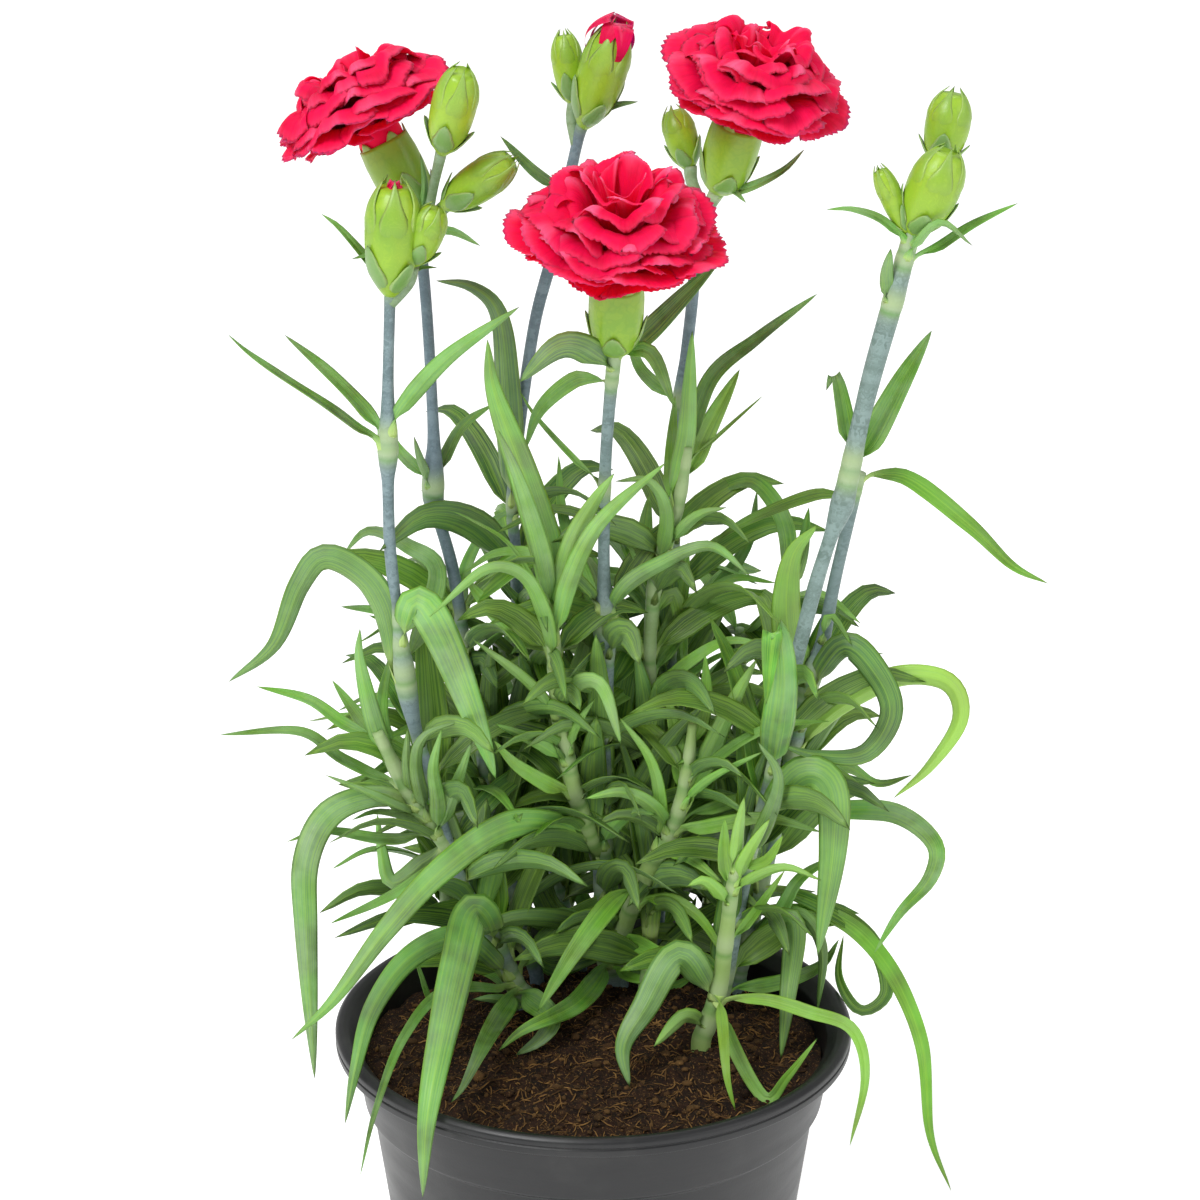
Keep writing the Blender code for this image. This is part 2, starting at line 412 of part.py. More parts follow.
def tube_mesh(name, points, radii, resolution=2):
    """A round stem through points in mm, as a bevelled curve made a mesh, with its caps welded."""
    curve = bpy.data.curves.new(name, "CURVE")
    curve.dimensions = "3D"
    curve.bevel_depth = MM
    curve.bevel_resolution = resolution
    curve.use_fill_caps = True
    spline = curve.splines.new("POLY")
    spline.points.add(len(points) - 1)
    for target, point, radius in zip(spline.points, points, radii):
        target.co = (*(np.array(point) * MM), 1.0)
        target.radius = radius
    obj = bpy.data.objects.new(name, curve)
    bpy.context.scene.collection.objects.link(obj)
    bpy.context.view_layer.update()
    mesh = bpy.data.meshes.new_from_object(obj.evaluated_get(bpy.context.evaluated_depsgraph_get()))
    work = bmesh.new()
    work.from_mesh(mesh)
    bmesh.ops.remove_doubles(work, verts=work.verts, dist=1e-6)
    bmesh.ops.recalc_face_normals(work, faces=work.faces)
    bmesh.ops.triangulate(work, faces=work.faces)
    work.to_mesh(mesh)
    work.free()
    bpy.data.objects.remove(obj)
    return mesh


def stem_path(key):
    """Dense samples of a stem: x, y, z, radius, u, v."""
    rows = [(*seen(u, v, depth), radius, u, v) for u, v, depth, radius in STEMS[key]]
    dense = smooth(rows, 60)
    if key not in FOOTED:
        return dense
    x, y = dense[0, 0], dense[0, 1]
    foot = dense[0].copy()
    foot[2] = soil_height(x, y) - HOLE_DEPTH + 1.0
    above = dense[0].copy()
    above[2] = soil_height(x, y) + 2.0
    keep = dense[dense[:, 2] > above[2] + 3.0]
    return np.vstack([foot, above, keep])


def thin_out(path, step):
    """Keeps the samples of a path that its shape needs, about one for each step in mm."""
    keep = [0, 1]
    for i in range(2, len(path) - 1):
        far = np.linalg.norm(path[i, :3] - path[keep[-1], :3])
        swollen = abs(path[i, 3] - path[keep[-1], 3]) > 0.35
        if far > step or (swollen and far > 2.5):
            keep.append(i)
    keep.append(len(path) - 1)
    return path[keep]


def leaf_line(path, points, added, push, early, count):
    """Spine of a leaf from its stem, with the push in depth that keeps it clear of other blades."""
    near = np.argmin(np.hypot(path[:, 4] - points[0][0], path[:, 5] - points[0][1]))
    root = path[near]
    flat = smooth([(root[4], root[5]), *points[1:]], 40)
    share = np.linspace(0, 1, len(flat))
    middle, tip = added
    depth = root[1] + middle * 4 * share * (1 - share) + tip * share * (2 * share - 1)
    depth += push * np.minimum(1.0, share / early)
    return smooth(seen(flat[:, 0], flat[:, 1], depth), count)


def sections(line):
    """How many cross-sections a leaf's bends ask for."""
    runs = [unit(b - a) for a, b in zip(line, line[1:])]
    turning = sum(math.acos(min(1.0, float(np.dot(a, b)))) for a, b in zip(runs, runs[1:]))
    return max(4, min(11, 3 + round(turning / TURN_PER_SEGMENT)))


def leaf_rows(line, width, facing):
    """Left edge, right edge, upper and lower midrib along a leaf's spine."""
    count = len(line)
    along = np.array([unit(line[min(i + 1, count - 1)] - line[max(i - 1, 0)]) for i in range(count)])
    reach = line[-1] - line[0]
    outward = unit(np.array([reach[0], reach[1], 0.0]))
    across = np.cross(outward, [0, 0, 1.0])
    last_side = across
    rows = []
    for i, t in enumerate(along):
        across = unit(across - t * np.dot(across, t))
        side = unit(np.cross(t, AHEAD))
        if np.dot(side, last_side) < 0:
            side = -side
        last_side = side
        wide = unit((1 - facing) * across + facing * side)
        upper = np.cross(wide, t)
        share = i / (count - 1)
        half = 0.5 * width * (0.55 + 0.45 * min(1.0, share / 0.3)) * (1 - share ** 2.6) ** 0.8
        rows.append((line[i], wide, upper, half))
    return rows


def leaf_mesh(name, line, width, facing, grow=0.0, start=0):
    """A keeled blade: both edges and the keel at each section, and one point at the tip."""
    rows = leaf_rows(line, width, facing)[start:]
    verts = []
    for centre, wide, upper, half in rows[:-1]:
        half = half + grow
        rise = EDGE_RISE * half
        verts.append(centre - wide * half + upper * (rise + 0.3 * grow))
        verts.append(centre - upper * (BLADE_THICKNESS - rise + 0.6 * grow))
        verts.append(centre + wide * half + upper * (rise + 0.3 * grow))
    faces = [(0, 1, 2)]
    last = len(rows) - 2
    for i in range(last):
        a, b = 3 * i, 3 * i + 3
        for k in range(3):
            n = (k + 1) % 3
            faces.append((a + k, b + k, b + n))
            faces.append((a + k, b + n, a + n))
    verts.append(rows[-1][0])
    tip = len(verts) - 1
    for k in range(3):
        faces.append((3 * last + k, tip, 3 * last + (k + 1) % 3))
    return mesh_of(name, verts, faces)


def bud_mesh(name, root, tip, width):
    """A closed bud: an egg of green sepals on its stalk."""
    a, b = seen(*root), seen(*tip)
    shares = [0.0, 0.10, 0.30, 0.55, 0.80, 0.94, 1.0]
    radii = [0.26, 0.66, 0.96, 1.0, 0.72, 0.40, 0.14]
    points = [a + (b - a) * s for s in shares]
    return tube_mesh(name, points, [0.5 * width * r for r in radii])


def bloom_frame(bloom):
    """Foot of the calyx, its axis and two directions across it."""
    foot = seen(*bloom["foot"])
    axis = unit(seen(*bloom["axis"]) - foot)
    side = unit(np.cross(axis, [0, 1.0, 0.2]))
    return foot, axis, side, np.cross(axis, side)


def calyx_mesh(name, bloom):
    foot, axis, _, _ = bloom_frame(bloom)
    shares = [0.0, 0.10, 0.35, 0.70, 1.0]
    radii = [0.34, 0.72, 0.95, 1.0, 0.86]
    points = [foot + axis * CALYX_LENGTH * s for s in shares]
    return tube_mesh(name, points, [CALYX_RADIUS * r for r in radii])


def petal_grid(reach, low, high, wide, across, droop, draw):
    """Points of one petal, upright along +Z and out along +X, with its waved and toothed edge."""
    shares = [0.0, 0.55, 1.0]
    sweep = np.linspace(-1, 1, across)
    turn = draw.uniform(0, 6.28)
    grid = []
    for s in shares:
        row = []
        for j, b in enumerate(sweep):
            tooth = 1.0 - TOOTH_DEPTH * (j % 2) if s == 1.0 else 1.0
            r = PETAL_ROOT + reach * s * tooth
            angle = b * wide * (0.30 + 0.70 * s ** 0.6)
            wave = PETAL_WAVE * reach * s * s * math.sin(3.4 * b + turn)
            arch = PETAL_ARCH * reach * math.sin(math.pi * s)
            rise = low + (high - low) * s ** 0.8 - droop * s ** 3 + arch + wave + LAP * reach * b * s
            row.append(np.array([r * math.cos(angle), r * math.sin(angle), rise]))
        grid.append(row)
    return grid


def petal_mesh(name, grid, place):
    """A thin waved petal, split into triangles alike on both faces."""
    rows, cols = len(grid), len(grid[0])
    points = np.array(grid)
    du = np.gradient(points, axis=0)
    dv = np.gradient(points, axis=1)
    normal = np.cross(du, dv)
    normal /= np.linalg.norm(normal, axis=2, keepdims=True)
    top = (points + 0.5 * PETAL_THICKNESS * normal).reshape(-1, 3)
    low = (points - 0.5 * PETAL_THICKNESS * normal).reshape(-1, 3)
    verts = [place(p) for p in np.vstack([top, low])]
    n = rows * cols
    faces = []
    for i in range(rows - 1):
        for j in range(cols - 1):
            a, b = i * cols + j, i * cols + j + 1
            c, d = a + cols, b + cols
            faces += [(a, c, d), (a, d, b), (n + a, n + d, n + c), (n + a, n + b, n + d)]
    rim = [i * cols for i in range(rows)] + [(rows - 1) * cols + j for j in range(1, cols)]
    rim += [i * cols + cols - 1 for i in range(rows - 2, -1, -1)] + [j for j in range(cols - 2, 0, -1)]
    for a, b in zip(rim, rim[1:] + rim[:1]):
        faces += [(a, b, n + b), (a, n + b, n + a)]
    return mesh_of(name, verts, faces)


def bloom_pieces(name, bloom, draw):
    """The heart of a bloom and its layers of petals."""
    foot, axis, side, front = bloom_frame(bloom)
    base = foot + axis * (CALYX_LENGTH + GAP)
    radius = bloom["radius"]
    pieces = [tube_mesh(name, [base + axis * h for h, _ in HEART], [r for _, r in HEART])]
    for count, reach, low, high, wide, across, phase in PETAL_LAYERS:
        for k in range(count):
            angle = 2 * math.pi * (k + phase) / count + draw.uniform(-0.12, 0.12)
            turned = side * math.cos(angle) + front * math.sin(angle)
            beside = np.cross(axis, turned)

            def place(p, turned=turned, beside=beside):
                return base + turned * p[0] + beside * p[1] + axis * p[2]

            length = radius * reach * draw.uniform(0.93, 1.0) - PETAL_ROOT
            end = bloom["dome"] * high * draw.uniform(0.9, 1.1)
            half_angle = wide * math.pi / count
            grid = petal_grid(length, low, end, half_angle, across, bloom["droop"] * reach ** 3, draw)
            pieces.append(petal_mesh(name, grid, place))
    return pieces


def largest_body(mesh):
    """Drops the loose scraps that a union can leave beside the one body."""
    work = bmesh.new()
    work.from_mesh(mesh)
    bmesh.ops.dissolve_degenerate(work, edges=work.edges, dist=1e-6)
    bmesh.ops.triangulate(work, faces=work.faces)
    body_of = {}
    bodies = []
    for first in work.faces:
        if first in body_of:
            continue
        found = [first]
        body_of[first] = len(bodies)
        for face in found:
            for edge in face.edges:
                if len(edge.link_faces) != 2:
                    continue
                for other in edge.link_faces:
                    if other not in body_of:
                        body_of[other] = len(bodies)
                        found.append(other)
        bodies.append(found)
    keep = max(bodies, key=len)
    scraps = [face for body in bodies if body is not keep for face in body]
    bmesh.ops.delete(work, geom=scraps, context="FACES")
    work.to_mesh(mesh)
    work.free()


def fuse(name, meshes, collection, material):
    """One solid from several that overlap: one union on a collection, applied.

    The union is MANIFOLD, because EXACT leaves edges shared by more than two faces where blades meet.
    """
    base = new_object(name, meshes[0], collection, material)
    if len(meshes) == 1:
        return base
    others = bpy.data.collections.new(name + "_parts")
    bpy.context.scene.collection.children.link(others)
    for mesh in meshes[1:]:
        new_object(name + "_part", mesh, others, material)
    union = base.modifiers.new("union", "BOOLEAN")
    union.operation = "UNION"
    union.operand_type = "COLLECTION"
    union.collection = others
    union.solver = "MANIFOLD"
    bpy.context.view_layer.update()
    joined = bpy.data.meshes.new_from_object(base.evaluated_get(bpy.context.evaluated_depsgraph_get()))
    base.modifiers.clear()
    largest_body(joined)
    base.data = joined
    for obj in list(others.objects):
        bpy.data.objects.remove(obj)
    bpy.data.collections.remove(others)
    return base


def turned(name, profile, collection, material):
    """A profile of (radius, height) in mm, running down its outer side, turned round the Z axis."""
    mesh = bpy.data.meshes.new(name)
    points = [(r * MM, 0.0, z * MM) for r, z in profile]
    mesh.from_pydata(points, [(i, i + 1) for i in range(len(points) - 1)], [])
    obj = new_object(name, mesh, collection, material)
    screw = obj.modifiers.new("turn", "SCREW")
    screw.steps = POT_STEPS
    screw.render_steps = POT_STEPS
    screw.use_merge_vertices = True
    screw.merge_threshold = 0.0001
    return obj


def build_pot(collection, cutters, material):
    """The nursery pot: a rolled lip, a band, a step and a tapering body with drain holes in its floor."""
    top = POT_HEIGHT
    band_end = top - BAND_DEPTH
    slope = (BODY_TOP_RADIUS - FOOT_RADIUS) / (band_end - 1.0)
    floor_radius = FOOT_RADIUS - WALL + slope * FLOOR_THICKNESS
    profile = [
        (LIP_RADIUS - LIP_WIDTH, top - 0.6),
        (LIP_RADIUS - 0.5 * LIP_WIDTH, top),
        (LIP_RADIUS, top - 0.8),
        (LIP_RADIUS, top - LIP_HEIGHT),
        (BAND_TOP_RADIUS + 0.3, top - LIP_HEIGHT),
        (BAND_TOP_RADIUS, top - LIP_HEIGHT - 1.0),
        (BAND_BOTTOM_RADIUS, band_end),
        (BODY_TOP_RADIUS, band_end - 1.2),
        (FOOT_RADIUS, 0.0),
        (0.0, 0.0),
        (0.0, FLOOR_THICKNESS),
        (floor_radius, FLOOR_THICKNESS),
        (BODY_TOP_RADIUS - WALL, band_end - 1.2),
        (BAND_BOTTOM_RADIUS - WALL, band_end + 0.4),
        (BAND_TOP_RADIUS - WALL, top - LIP_HEIGHT + 1.0),
        (LIP_RADIUS - LIP_WIDTH, top - 0.6),
    ]
    pot = turned("pot", profile, collection, material)
    for k in range(DRAIN_COUNT):
        angle = 2 * math.pi * k / DRAIN_COUNT
        x, y = DRAIN_RING_RADIUS * math.cos(angle), DRAIN_RING_RADIUS * math.sin(angle)
        drill(pot, (x, y, 0.5 * FLOOR_THICKNESS), DRAIN_RADIUS, 3 * FLOOR_THICKNESS, "drain_cutter", cutters)
    return pot


def drill(obj, centre, radius, depth, name, cutters):
    """An upright round hole, centre and sizes in mm, cut by a hidden cylinder."""
    bpy.ops.mesh.primitive_cylinder_add(vertices=8, radius=radius * MM, depth=depth * MM,
                                        location=tuple(c * MM for c in centre))
    cutter = bpy.context.object
    cutter.name = name
    for owner in list(cutter.users_collection):
        owner.objects.unlink(cutter)
    cutters.objects.link(cutter)
    cutter.hide_render = True
    cutter.display_type = "WIRE"
    hole = obj.modifiers.new("hole", "BOOLEAN")
    hole.operation = "DIFFERENCE"
    hole.object = cutter


def pot_inside(z):
    """Inner radius of the pot at a height."""
    band_end = POT_HEIGHT - BAND_DEPTH
    slope = (BODY_TOP_RADIUS - FOOT_RADIUS) / (band_end - 1.0)
    if z < band_end - 1.2:
        return FOOT_RADIUS - WALL + slope * z
    share = (z - band_end) / (POT_HEIGHT - LIP_HEIGHT - band_end)
    return BAND_BOTTOM_RADIUS - WALL + max(0.0, share) * (BAND_TOP_RADIUS - BAND_BOTTOM_RADIUS)


def build_soil(collection, material):
    """The peat: a heaped, crumbly top on a plug that fills the pot."""
    verts = [np.array([0.0, 0.0, soil_height(0, 0)])]
    outer = pot_inside(SOIL_LEVEL) - 2 * GAP
    for ring in range(1, SOIL_RINGS + 1):
        r = outer * ring / SOIL_RINGS
        for k in range(SOIL_SPOKES):
            a = 2 * math.pi * (k + 0.5 * (ring % 2)) / SOIL_SPOKES
            x, y = r * math.cos(a), r * math.sin(a)
            verts.append(np.array([x, y, soil_height(x, y)]))
    band_end = POT_HEIGHT - BAND_DEPTH - 1.2
    for z in (band_end + 1.4, band_end - 0.4, FLOOR_THICKNESS + GAP):
        r = min(pot_inside(z), BODY_TOP_RADIUS - WALL if z < band_end + 2 else 99) - 2 * GAP
        for k in range(SOIL_SPOKES):
            a = 2 * math.pi * (k + 0.5 * (SOIL_RINGS % 2)) / SOIL_SPOKES
            verts.append(np.array([r * math.cos(a), r * math.sin(a), z]))
    n = SOIL_SPOKES
    faces = [(0, 1 + k, 1 + (k + 1) % n) for k in range(n)]
    levels = SOIL_RINGS + 3
    for ring in range(1, levels):
        a0, b0 = 1 + (ring - 1) * n, 1 + ring * n
        for k in range(n):
            faces.append((a0 + k, b0 + k, b0 + (k + 1) % n, a0 + (k + 1) % n))
    last = 1 + (levels - 1) * n
    faces.append(tuple(last + k for k in range(n)))
    return new_object("soil", mesh_of("soil", verts, faces), collection, material)


def material(name, colour):
    mat = bpy.data.materials.new(name)
    mat.use_nodes = True
    shader = mat.node_tree.nodes["Principled BSDF"]
    shader.inputs["Base Color"].default_value = (*colour[:3], 1.0)
    shader.inputs["Roughness"].default_value = colour[3]
    return mat


def crossed_leaves(paths, draw):
    """Leaves of the hidden back shoots, in pairs that cross from node to node: stem, spine points, width."""
    leaves = []
    for key, first, last, pairs, length in CROSSED_PAIRS:
        path = paths[key]
        for pair in range(pairs):
            share = first + (last - first) * pair / max(1, pairs - 1)
            root = path[int(share * (len(path) - 1))]
            turn = math.radians(90 * (pair % 2) + draw.uniform(-25, 25) + 35)
            for side in (0, math.pi):
                angle = turn + side
                reach = length * draw.uniform(0.75, 1.1) * (1 - 0.25 * share)
                lift = draw.uniform(0.35, 0.75) + 0.3 * share
                out = np.array([math.cos(angle), math.sin(angle), 0.0])
                up = np.array([0, 0, 1.0])
                start = root[:3]
                line = [start, start + reach * (0.30 * out + 0.42 * lift * up),
                        start + reach * (0.65 * out + 0.62 * lift * up),
                        start + reach * (0.98 * out + 0.50 * lift * up)]
                leaves.append((key, line, draw.uniform(4.0, 5.6)))
    return leaves


class Clearing:
    """What stands already, kept as trees by node, so that new blades are bent clear of it."""

    def __init__(self):
        self.trees = []

    def add(self, node, mesh):
        self.trees.append((node, tree_of(mesh)))

    def hits(self, node, far, near):
        """Whether the blade touches another node, or its own node's blades beyond its root."""
        for owner, tree in self.trees:
            probe = far if owner == node else near
            if tree.overlap(probe):
                return owner
        return None


def place_leaf(node, path, leaf, clearing):
    """A listed leaf, pushed in depth by the first step that keeps it clear, at worst only of other nodes."""
    points, added, width, facing = leaf
    count = sections(leaf_line(path, points, added, 0, 0.6, 24))
    for own in (True, False):
        for push in PUSHES:
            for early in (0.6, 0.25):
                line = leaf_line(path, points, added, push, early, count)
                near = tree_of(leaf_mesh("probe", line, width, facing, CLEARANCE, 1))
                far = tree_of(leaf_mesh("probe", line, width, facing, CLEARANCE, 2))
                hit = clearing.hits(node, far, near)
                if hit is None or (not own and hit == node):
                    return leaf_mesh(node, line, width, facing)
    raise RuntimeError(f"no clear place for a leaf of {node}")


def spun(line, turn):
    """A spine turned about the upright through its root."""
    c, s = math.cos(math.radians(turn)), math.sin(math.radians(turn))
    reach = [p - line[0] for p in line]
    return [line[0] + np.array([c * d[0] - s * d[1], s * d[0] + c * d[1], d[2]]) for d in reach]


def place_crossed(node, line, width, clearing):
    """A leaf of a hidden pair, turned about its stem until it is clear, or left out where it never is."""
    for turn in SPINS:
        curve = smooth(spun(line, turn), 5)
        near = tree_of(leaf_mesh("probe", curve, width, 0.0, CLEARANCE, 0))
        far = tree_of(leaf_mesh("probe", curve, width, 0.0, CLEARANCE, 2))
        if clearing.hits(node, far, near) is None:
            return leaf_mesh(node, curve, width, 0.0)
    return None


def node_of(key):
    """The node that a stem belongs to."""
    return next(node for node, keys in NODES.items() if key in keys)


def stem_pieces(paths):
    """Stems, stalks, buds and calyces, by node."""
    pieces = {node: [] for node in NODES}
    for key, dense in paths.items():
        node = node_of(key)
        path = thin_out(dense, STEM_STEP)
        pieces[node].append(tube_mesh(node, path[:, :3], path[:, 3], 1))
        for stalk in STALKS.get(key, []):
            rows = smooth([(*seen(u, v, y), r) for u, v, y, r in stalk], 4)
            pieces[node].append(tube_mesh(node, rows[:, :3], rows[:, 3], 1))
        for root, tip, width in BUDS.get(key, []):
            pieces[node].append(bud_mesh(node, root, tip, width))
    for bloom in BLOOMS.values():
        node = node_of(bloom["stem"])
        pieces[node].append(calyx_mesh(node, bloom))
    return pieces


def add_leaves(pieces, paths, clearing):
    """The listed leaves and then the crossed pairs, each set clear of what stands already."""
    for node, keys in NODES.items():
        for key in keys:
            for leaf in LEAVES.get(key, []):
                mesh = place_leaf(node, paths[key], leaf, clearing)
                pieces[node].append(mesh)
                clearing.add(node, mesh)
    for key, line, width in crossed_leaves(paths, random.Random(SEED + 1)):
        node = node_of(key)
        mesh = place_crossed(node, line, width, clearing)
        if mesh:
            pieces[node].append(mesh)
            clearing.add(node, mesh)


def main():
    for obj in list(bpy.data.objects):
        bpy.data.objects.remove(obj)
    parts = bpy.data.collections.new("dianthus_plant")
    cutters = bpy.data.collections.new("cutters")
    for collection in (parts, cutters):
        bpy.context.scene.collection.children.link(collection)
    looks = {name: material(name, colour) for name, colour in COLOURS.items()}

    pot = build_pot(parts, cutters, looks["pot"])
    soil = build_soil(parts, looks["soil"])
    bpy.context.view_layer.update()
    whole_pot = bpy.data.meshes.new_from_object(pot.evaluated_get(bpy.context.evaluated_depsgraph_get()))

    draw = random.Random(SEED)
    paths = {key: stem_path(key) for key in STEMS}
    pieces = stem_pieces(paths)
    blooms = {name: bloom_pieces(name, bloom, draw) for name, bloom in BLOOMS.items()}
    clearing = Clearing()
    clearing.add("pot", whole_pot)
    clearing.add("soil", soil.data)
    for node, meshes in {**pieces, **blooms}.items():
        for mesh in meshes:
            clearing.add(node, mesh)
    add_leaves(pieces, paths, clearing)

    for node, meshes in pieces.items():
        fuse(node, meshes, parts, looks["leaf"])
    for name, meshes in blooms.items():
        fuse(name, meshes, parts, looks["petal"])
    for key in FOOTED:
        x, y, _, radius = paths[key][0, :4]
        middle = soil_height(x, y) + 0.5 * HOLE_DEPTH
        drill(soil, (x, y, middle), 1.09 * radius + GAP, 3 * HOLE_DEPTH, "stem_hole_cutter", cutters)


main()
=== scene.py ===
import math
import random

import bmesh
import bpy
import numpy as np
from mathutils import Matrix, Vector, noise
from mathutils.bvhtree import BVHTree


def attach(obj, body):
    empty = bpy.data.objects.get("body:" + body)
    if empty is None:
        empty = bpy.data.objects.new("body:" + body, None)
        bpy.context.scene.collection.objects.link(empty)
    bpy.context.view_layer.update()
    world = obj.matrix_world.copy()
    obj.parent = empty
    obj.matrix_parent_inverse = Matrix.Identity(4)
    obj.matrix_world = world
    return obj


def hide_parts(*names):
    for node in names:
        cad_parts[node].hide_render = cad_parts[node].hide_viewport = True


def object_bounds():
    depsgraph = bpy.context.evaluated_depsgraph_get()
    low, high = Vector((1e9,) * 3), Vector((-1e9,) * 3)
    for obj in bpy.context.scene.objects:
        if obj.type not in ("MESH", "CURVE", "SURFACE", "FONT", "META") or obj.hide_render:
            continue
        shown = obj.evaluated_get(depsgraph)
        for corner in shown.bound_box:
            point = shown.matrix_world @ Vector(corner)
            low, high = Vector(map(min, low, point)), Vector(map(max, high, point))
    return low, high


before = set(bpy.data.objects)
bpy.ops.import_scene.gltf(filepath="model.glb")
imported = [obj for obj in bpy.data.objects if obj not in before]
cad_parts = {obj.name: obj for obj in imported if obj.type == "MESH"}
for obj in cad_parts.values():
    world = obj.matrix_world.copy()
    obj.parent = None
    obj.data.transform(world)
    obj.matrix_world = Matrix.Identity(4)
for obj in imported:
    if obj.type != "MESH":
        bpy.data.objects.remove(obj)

CAD_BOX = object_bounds()
MM = 0.001
SEED = 11

# Painted values of what has none of its own.
PLAIN = (0, 0, 0, 0)

# The pot: radii and heights in mm, as in the solid.
POT_HEIGHT = 100.0
LIP_RADIUS = 62.0
LIP_HEIGHT = 4.6
LIP_WIDTH = 3.2
BAND_TOP_RADIUS = 57.6
BAND_BOTTOM_RADIUS = 55.2
BAND_DEPTH = 19.0
BAND_END = POT_HEIGHT - BAND_DEPTH
BAND_STEP = 1.2
BODY_TOP_RADIUS = 53.4
FOOT_RADIUS = 42.0
BODY_SLOPE = (BODY_TOP_RADIUS - FOOT_RADIUS) / (BAND_END - 1.0)
WALL = 1.5
FLOOR_THICKNESS = 2.0
POT_STEPS = 144
CORNER_RADIUS = 0.5
CORNER_STEPS = 4
SHARP_ANGLE = math.radians(38)
DRAIN_RING_RADIUS = 31.0
DRAIN_RADIUS = 4.0
DRAIN_COUNT = 6
DRAIN_SIDES = 32

# The soil: level at the wall, heap in the middle, gap to the pot, the rings of the plug below as
# (height, gap to the wall), and its loose fibres and clods, which keep clear of the wall.
SOIL_LEVEL = 90.5
SOIL_HEAP = 5.0
HEAP_RADIUS = 50.0
SOIL_RINGS = 110
SOIL_SPOKES = 300
SOIL_GAP = 0.25
PLUG_RINGS = [(84.0, 0.4), (80.0, 0.4), (FLOOR_THICKNESS + 0.3, 0.6)]
HOLE_DEPTH = 9.0
FIBRES = 1500
FIBRE_MARGIN = 4.0
CLODS = 900
CLOD_MARGIN = 2.5

# Blades: thickness in mm, the places across a blade that carry points, the distance between points along
# the listed leaves and along the inner ones, and the fewest points along a leaf.
BLADE_THICKNESS = 0.55
LEAF_ACROSS = np.array([-1, -0.82, -0.5, -0.17, 0, 0.17, 0.5, 0.82, 1.0])
FINE_STEP = 1.7
INNER_STEP = 3.6
LEAST_POINTS = 9

# The base of a leaf, which clasps its stem: its length at most, in mm and as a share of the leaf, how far
# it reaches round the stem to each side, and how far it stands off the stem.
CLASP_LENGTH = 10.0
CLASP_SHARE = 0.30
CLASP_ANGLE = 0.5 * math.pi * 0.95
CLASP_GAP = 0.42

# Points on each span of a curve, along a stem, along a leaf in the picture, and along its first spine.
SPAN_SAMPLES = 16
STEM_SAMPLES = 60
PICTURE_SAMPLES = 40
ROUGH_SAMPLES = 24

# Rings and sides of the tubes of stems and of the stalks of buds.
STEM_RING_STEP = 1.2
STEM_SIDES = 18
STALK_RINGS = 14
STALK_SIDES = 14

# How the solids' blades were set: the bend for each segment, the pushes in depth, the share of the leaf by
# which a push is reached, and the turns, in degrees, of the crossed leaves.
TURN_PER_SEGMENT = math.radians(42)
PUSHES = [0, 2, -2, 4, -4, 6, -6, 8, -8, 11, -11, 14, -14, 18, -18, 22, -22]
EARLY_SHARES = (0.6, 0.25)
SPINS = [0, 12, -12, 24, -24, 36, -36]

# Buds and calyces: sides of their cups, how far the cup of a bud lies inside its sepals, and the points
# along and across a scale.
BUD_SIDES = 30
CUP_INSET = 0.35
SCALE_ROWS = 12
SCALE_COLUMNS = 9

# Egg-shaped outline of a bud, and the calyx of an open bloom, as shares of the length and of the radius.
BUD_OUTLINE = ([0.0, 0.05, 0.10, 0.20, 0.30, 0.42, 0.55, 0.68, 0.80, 0.90, 0.96, 1.0],
               [0.22, 0.40, 0.56, 0.76, 0.89, 0.97, 1.0, 0.97, 0.85, 0.62, 0.42, 0.20])
CALYX_OUTLINE = ([0.0, 0.06, 0.14, 0.30, 0.50, 0.70, 0.86, 1.0],
                 [0.30, 0.58, 0.78, 0.94, 1.0, 1.0, 0.95, 0.92])

# Blooms: calyx size, petals' thickness and points, and the claws that fill the mouth of the calyx, as
# heights above the base of the petals and radii.
CALYX_LENGTH = 21.0
CALYX_RADIUS = 6.3
PETAL_THICKNESS = 0.20
PETAL_ROWS = 15
PETAL_COLUMNS = 37
CLAW_HEIGHTS = np.linspace(-4.0, 7.0, 8)
CLAW_RADII = np.array([4.9, 5.2, 5.3, 5.2, 4.8, 4.0, 2.8, 1.2])
CLAW_SIDES = 24

# Layers of petals, from the outermost to the heart, as
# (petals, reach, end height, arch, half angle in degrees, depth of the folds, first turn).
PETAL_LAYERS = [
    (7, 0.74, 3.0, 1.5, 36, 0.045, 0.3),
    (7, 1.00, 6.0, 3.5, 38, 0.040, 0.0),
    (7, 0.93, 9.0, 4.5, 37, 0.060, 0.5),
    (6, 0.83, 12.5, 5.5, 40, 0.090, 0.2),
    (6, 0.70, 15.5, 6.0, 42, 0.130, 0.6),
    (5, 0.56, 18.0, 6.0, 46, 0.180, 0.1),
    (4, 0.42, 20.0, 4.5, 55, 0.240, 0.4),
    (3, 0.27, 20.5, 3.0, 68, 0.300, 0.8),
]

# The studio: sensor in mm, focal length in picture widths, floor size in metres, light strengths.
SENSOR = 36.0
FRAME_LENGTHS = 3.597
FLOOR_HALF = 6.0
ROOM_LIGHT = 0.50
KEY_POWER = 30.0
FILL_POWER = 7.0
TOP_POWER = 8.0
FLOOR_GLOW = 0.42

# The picture plane: target, distance and tilt of the viewing axis.
TARGET = np.array([1.6, 0.0, 207.8])
PICTURE_CENTRE = (1.6, 98.5)
VIEW_DISTANCE = 1000.0
VIEW_TILT = math.radians(20.8)
RIGHT = np.array([1.0, 0.0, 0.0])
UP = np.array([0.0, math.sin(VIEW_TILT), math.cos(VIEW_TILT)])
AHEAD = np.array([0.0, math.cos(VIEW_TILT), -math.sin(VIEW_TILT)])
EYE = TARGET - VIEW_DISTANCE * AHEAD

